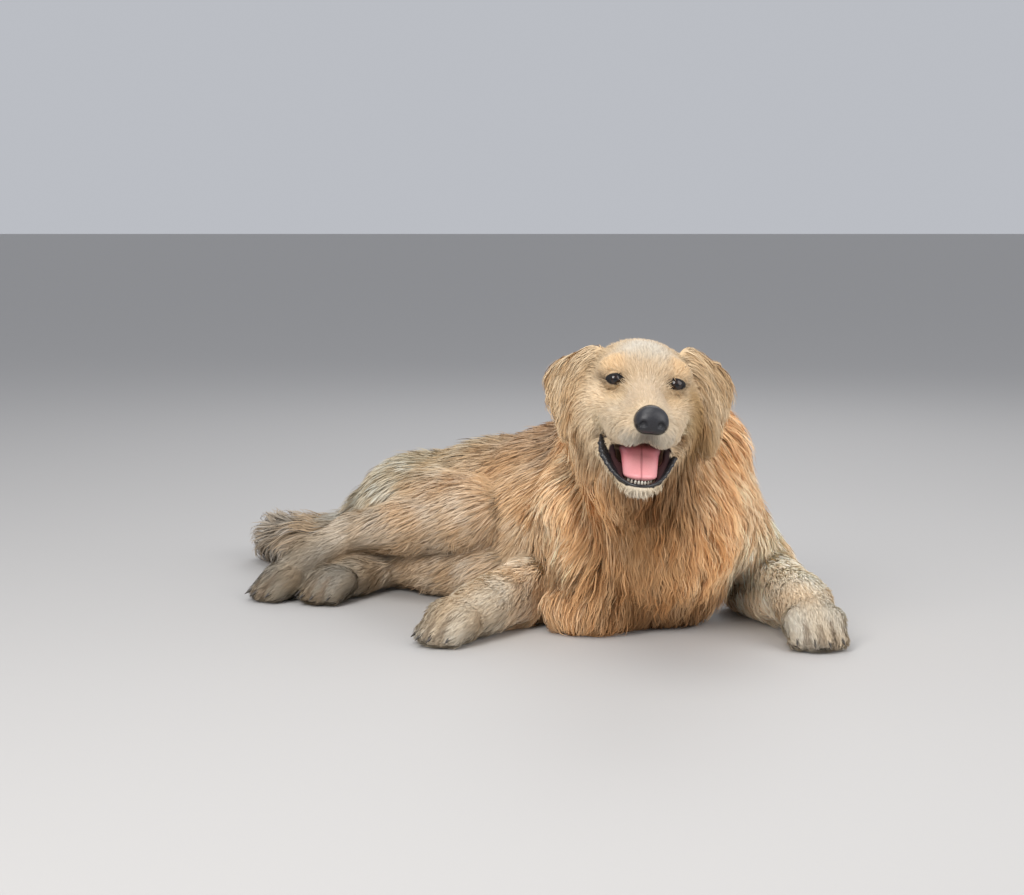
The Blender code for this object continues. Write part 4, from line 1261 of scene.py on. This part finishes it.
class Guides(Spots):
    """The hairs that lead the strands: their paths, the phase of their waves and their tints."""

    def __init__(self, surface, haired):
        spacing = GUIDE_SPACING * np.clip((surface.regions @ LENGTH) / 0.045, 0.55, 1.55)
        q = to_head(surface.places)
        for spot in ((-EYE_SPREAD, -0.005, 0), (EYE_SPREAD, -0.005, 0), (0, -0.06, -0.07)):
            near = smooth(0.034, 0.026, away_from(q, *spot))
            spacing = spacing * (1 - 0.42 * near)
        super().__init__(surface, haired / spacing**2, np.random.default_rng(5))
        generator = np.random.default_rng(11)
        count = len(self.root)
        below = smooth(0.15, -0.55, self.normal[:, 2]) * share_of(self.region, *FEATHERED)
        length = (self.region @ LENGTH) * generator.uniform(0.80, 1.18, count)
        length *= 1 + below * generator.uniform(-0.35, 1.5, count)
        height = self.depth * generator.uniform(0.75, 1.15, count)
        self.path = flow(self.root, length, height, self.depth)
        self.phase = generator.uniform(0, 2 * math.pi, count)
        self.tint = generator.random(count)
        self.tree = kdtree.KDTree(count)
        for index, place in enumerate(self.root):
            self.tree.insert(place, index)
        self.tree.balance()

    def nearest(self, spots):
        """The guide of each spot: the nearest one where the skin faces the same way."""
        found = np.zeros(len(spots.root), int)
        for index, place in enumerate(spots.root):
            near = [other for _, other, _ in self.tree.find_n(place, 4)]
            facing = (other for other in near if self.normal[other] @ spots.normal[index] > 0.35)
            found[index] = next(facing, near[0])
        return found

    def lead(self, chosen, steps):
        """The chosen guides' paths at each of a strand's steps."""
        at = steps * GUIDE_STEPS
        low = np.clip(at.astype(int), 0, GUIDE_STEPS - 1)
        part = (at - low)[None, :, None]
        path = self.path[chosen]
        return path[:, low] * (1 - part) + path[:, low + 1] * part


def above_skin(path, depth):
    """The strands' paths, lifted where they would dip into the skin."""
    for k in range(1, path.shape[1]):
        here, slope = skin_slope(path[:, k], depth)
        least = depth * (0.20 + 0.35 * k / path.shape[1])
        path[:, k] += slope * np.clip(least - here, 0, 0.012)[:, None]
    return path


def strand_paths(name, spots, guides, chosen, steps, generator):
    """(the middle line, the width) of each strand."""
    count, normal, hair = len(spots.root), spots.normal, spots.region @ LENGTH
    lead, t = guides.lead(chosen, steps), steps[None, :]
    length = generator.uniform(0.72, 1.12, count)
    clump = np.clip((spots.region @ CLUMP) * generator.uniform(0.75, 1.15, count), 0, 0.95)
    width = (spots.region @ WIDTH) * generator.uniform(0.75, 1.25, count)
    run = (lead - lead[:, :1]) * length[:, None, None]
    swing = generator.normal(0, 0.16, count) * (1 - 0.5 * clump)
    side = unit(np.cross(normal, unit(run[:, -1])))
    reach = np.linalg.norm(run[:, -1], axis=1)

    # Long hair takes its guide's shape. Short hair lies straight, along the skin at its own root.
    ahead = unit(guides.path[chosen, 1] - guides.path[chosen, 0])
    ahead = unit(ahead - normal * np.sum(ahead * normal, axis=1, keepdims=True))
    rise = spots.depth[:, None] * (1 - (1 - t) ** 2) * 0.9
    straight = ahead[:, None] * (reach[:, None] * t)[:, :, None] + normal[:, None] * rise[:, :, None]
    short = smooth(0.030, 0.016, hair)[:, None, None]
    own = spots.root[:, None] + run * (1 - short) + straight * short
    own = own + side[:, None] * (swing[:, None] * reach[:, None] * t)[:, :, None]

    # A few strands stand away from the rest.
    often = 0.10 + spots.region @ STRAY
    stray = generator.random(count) < often * smooth(0.012, 0.030, hair)
    lift = generator.normal(0, 0.10, count) * spots.depth
    lift = lift + np.where(stray, generator.uniform(0.03, 0.16, count) * hair, 0)
    own = own + normal[:, None] * (lift[:, None] * t)[:, :, None]

    # The others gather around their guide towards the tips, and all of them wave.
    clump = clump * np.where(stray, 0.45, 1.0)
    pull = (clump[:, None] * t**1.3)[:, :, None]
    loose = 0.0006 + 0.018 * reach * (1 - clump)
    spread = generator.normal(0, 1, (count, 1, 3)) * loose[:, None, None]
    path = own * (1 - pull) + (lead[:, :1] + run + spread * t[:, :, None]) * pull
    turn = (guides.phase[chosen] + generator.normal(0, 0.35, count))[:, None]
    turn = turn + t * reach[:, None] / WAVE_LENGTH * 2 * math.pi
    wave = (spots.region @ WAVE)[:, None] * t
    path = path + side[:, None] * (np.sin(turn) * wave)[:, :, None]
    path = path + normal[:, None] * (np.cos(turn * 0.9) * wave * 0.5)[:, :, None]
    if name in CAREFUL:
        path = above_skin(path, spots.depth)
    lowest = FLOOR + 0.0004 + generator.uniform(0, 0.0025, count)[:, None] * t
    path[:, :, 2] = np.maximum(path[:, :, 2], lowest)
    return path, width


def ribbons(path, normal, width, steps, generator):
    """The corners of each strand's tapering blade, whose flat faces out from the skin, rolled a little."""
    tangent = unit(np.gradient(path, axis=1))
    flat = unit(np.cross(tangent, np.broadcast_to(normal[:, None], path.shape)))
    up = np.cross(flat, tangent)
    roll = generator.normal(0, 0.45, len(path))[:, None, None]
    taper = np.interp(steps, [0, 0.15, 0.6, 1], [0.75, 1.0, 0.8, 0.0])[None, :, None]
    half = (flat * np.cos(roll) + up * np.sin(roll)) * (width[:, None, None] / 2) * taper
    pairs = np.stack([path - half, path + half], axis=2)[:, :-1].reshape(len(path), -1, 3)
    return np.concatenate([pairs, path[:, -1:]], axis=1)


def strand_colours(spots, tint, steps, generator):
    """The skin's markings with their painted shade and light, tinted by lock and strand, darker at the root
    with painted shade and paler at the tip.
    """
    long_coat = smooth(0.012, 0.045, spots.region @ LENGTH)
    sway = (tint[:, None] - 0.5) * 2
    sway = sway * np.where(sway < 0, np.array((0.18, 0.28, 0.38)), np.array((0.12, 0.24, 0.44)))
    colour = markings_with_painted_light(spots.root, spots.region)
    colour = colour * (1 + sway * (0.20 + 0.80 * long_coat[:, None] ** 2))
    colour = colour * np.exp(generator.normal(0, 0.07, len(colour)))[:, None]
    # Painted shade at the root, deep in the coat, and paler towards the tip.
    fade = np.interp(steps, [0, 0.35, 1], [0.90, 0.99, 1.05])
    fade = 1 + (fade[None, :, None] - 1) * (0.4 + 0.6 * long_coat)[:, None, None]
    tones = colour[:, None] * fade
    return np.concatenate([np.repeat(tones[:, :-1], 2, axis=1), tones[:, -1:]], axis=1)


def ribbon_mesh(name, corners, segments):
    """(the strands' mesh, the vertex of each loop). A strand is a row of quads with a triangle at its tip."""
    count, per, _ = corners.shape
    base = np.arange(count)[:, None, None] * per
    quads = (base + 2 * np.arange(segments - 1)[:, None] + np.array((0, 1, 3, 2))).reshape(-1, 4)
    tips = (base + per - 3 + np.arange(3)).reshape(-1, 3)
    loops = np.concatenate([quads.ravel(), tips.ravel()])
    starts = np.concatenate([np.arange(len(quads)) * 4, len(quads) * 4 + np.arange(len(tips)) * 3])
    mesh = bpy.data.meshes.new(name)
    mesh.vertices.add(count * per)
    mesh.vertices.foreach_set("co", corners.reshape(-1).astype(np.float32))
    mesh.loops.add(len(loops))
    mesh.loops.foreach_set("vertex_index", loops.astype(np.int32))
    mesh.polygons.add(len(starts))
    mesh.polygons.foreach_set("loop_start", starts.astype(np.int32))
    mesh.update(calc_edges=True)
    mesh.validate()
    return mesh, loops


def map_strands(mesh, loops, spots, steps):
    """Gives each strand its patch of the map, at its root's place on a six-sided unwrap of the skin."""
    root, normal = spots.root, spots.normal
    axis = np.abs(normal).argmax(axis=1)
    chart = axis * 2 + (normal[np.arange(len(root)), axis] > 0)
    flat_axes = np.array([(1, 2), (0, 2), (0, 1)])[axis]
    low, high = root.min(axis=0), root.max(axis=0)
    place = np.take_along_axis((root - low) / np.maximum(high - low, 1e-6), flat_axes, axis=1)
    corner = np.stack([(chart % 3) / 3, (chart // 3) / 2], axis=1)
    place = corner + 0.004 + place * np.array((1 / 3 - 0.012, 1 / 2 - 0.012))
    u = np.append(np.tile([0, 1], len(steps) - 1), 0.5) * MAP_PATCH
    v = np.append(np.repeat(steps[:-1], 2), 1) * MAP_PATCH
    uv = place[:, None] + np.stack([u, v], axis=1)[None]
    layer = mesh.uv_layers.new(name="OFBake")
    layer.data.foreach_set("uv", uv.reshape(-1, 2)[loops].astype(np.float32).ravel())


def build_strands(name, slot, spots, guides, generator):
    """One piece of coat: a flat tapering strand at each spot, led by the nearest guide."""
    chosen = guides.nearest(spots)
    segments = int(round(np.median(SEGMENTS[spots.region.argmax(axis=1)])))
    steps = np.linspace(0, 1, segments + 1)
    path, width = strand_paths(name, spots, guides, chosen, steps, generator)
    corners = ribbons(path, spots.normal, width, steps, generator)
    mesh, loops = ribbon_mesh(name, corners, segments)
    set_tone(mesh, strand_colours(spots, guides.tint[chosen], steps, generator).reshape(-1, 3))
    map_strands(mesh, loops, spots, steps)

    # The strands share the skin's shading, so that the coat reads as one soft surface.
    bend = 0.22 * generator.normal(0, 0.5, (len(path), 1, 3))
    soft = unit(np.repeat(spots.normal[:, None] + bend, corners.shape[1], axis=1).reshape(-1, 3))
    obj = new_object(name, mesh)
    smooth_shaded(obj)
    mesh.normals_split_custom_set_from_vertices(soft.astype(np.float32))
    finish_piece(obj, COAT_MATERIAL, slot)
    print(name, len(path), "strands", len(path) * (2 * segments - 1), "triangles")


def build_coat(surface):
    on_floor = smooth(0.0030, 0.0012, surface.places[:, 2]) * smooth(-0.5, -0.9, surface.normals[:, 2])
    haired = (1 - surface.bare) * (1 - on_floor)
    guides = Guides(surface, haired)
    for seed, (name, (slot, *regions)) in enumerate(COAT_PIECES.items()):
        share = share_of(surface.regions, *regions)
        rate = (surface.regions @ DENSITY) * 1e4 * haired * share * COAT_SHARE
        generator = np.random.default_rng(100 + seed)
        build_strands(name, slot, Spots(surface, rate, generator), guides, generator)


def paint_skin(surface):
    tone = markings_with_painted_light(surface.places, surface.regions)
    tone = mixed(tone, (0.012, 0.011, 0.012), surface.bare)
    # Inside the mouth: dark red near the lips, kept near black further in as painted shade.
    deep_mouth_shade = surface.mouth * smooth(-0.03, 0.01, to_head(surface.places)[:, 1])
    tone = mixed(tone, (0.060, 0.014, 0.014), surface.mouth * 0.6 * (1 - deep_mouth_shade))
    pads = share_of(surface.regions, "paw") * smooth(-0.35, -0.7, surface.normals[:, 2])
    tone = mixed(tone, (0.030, 0.026, 0.025), pads)
    set_tone(surface.mesh, tone)


# ---------------------------------------------------------------- floor, lights and camera
def pale_floor():
    bm = bmesh.new()
    bmesh.ops.create_grid(bm, x_segments=2, y_segments=2, size=30)
    floor = new_object("floor", mesh_of(bm, "floor"))
    material, _, shader = nodes_of("floor")
    shader.inputs["Base Color"].default_value = (0.46, 0.45, 0.44, 1)
    shader.inputs["Roughness"].default_value = 0.7
    floor.data.materials.append(material)


def area_light(name, place, aim, size, power, colour=(1, 1, 1)):
    light = bpy.data.lights.new(name, "AREA")
    light.shape = "DISK"
    light.size = size
    light.energy = power
    light.color = colour
    obj = new_object(name, light)
    obj.location = place
    obj.rotation_euler = (Vector(aim) - Vector(place)).to_track_quat("-Z", "Y").to_euler()


def studio():
    scene = bpy.context.scene
    world = bpy.data.worlds.new("studio")
    scene.world = world
    world.use_nodes = True
    world.node_tree.nodes["Background"].inputs["Color"].default_value = (0.90, 0.93, 1.0, 1)
    world.node_tree.nodes["Background"].inputs["Strength"].default_value = 0.55
    scene.view_settings.view_transform = "Standard"
    area_light("key", (-1.15, -2.2, 1.8), (0.0, -0.1, 0.15), 1.5, 52, (1.0, 0.98, 0.95))
    area_light("top", (-0.3, -0.5, 2.3), (0.0, -0.1, 0.1), 1.4, 17, (1.0, 0.99, 0.97))
    area_light("fill", (2.0, -1.4, 1.4), (0.1, 0.0, 0.15), 2.6, 40, (1.0, 0.98, 0.96))
    area_light("back", (0.4, 2.2, 2.0), (0.0, 0.2, 0.15), 1.4, 14, (1.0, 1.0, 1.0))
    camera = bpy.data.cameras.new("camera")
    camera.sensor_width = 36.0
    camera.lens = 70.664
    view = new_object("camera", camera)
    view.location = Vector((-0.1851, -2.438, 0.5322)) + SHIFT
    view.rotation_euler = (math.radians(83), 0, 0)
    scene.camera = view


SEPARATE = ("claw", "eye", "nose", "tongue")  # the nodes that aren't flesh
FLESH_NODES = [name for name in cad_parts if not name.startswith(SEPARATE)]
COAT_MATERIAL = painted("coat", 0.62, 0.90, 1.08, 220.0, 0.0, 0.0003, 0.22)
SKIN_MATERIAL = painted("skin", 0.75, 0.82, 1.10, 300.0, 0.5, 0.0008, 0.25)
skin = build_skin()
surface = Surface(skin.data)
paint_skin(surface)
smooth_shaded(skin)
build_coat(surface)
finish_piece(skin, SKIN_MATERIAL, "chest", *FLESH_NODES)
build_nose()
build_eye(1)
build_eye(-1)
build_tongue()
build_lips()
build_teeth()
build_claws()
pale_floor()
studio()
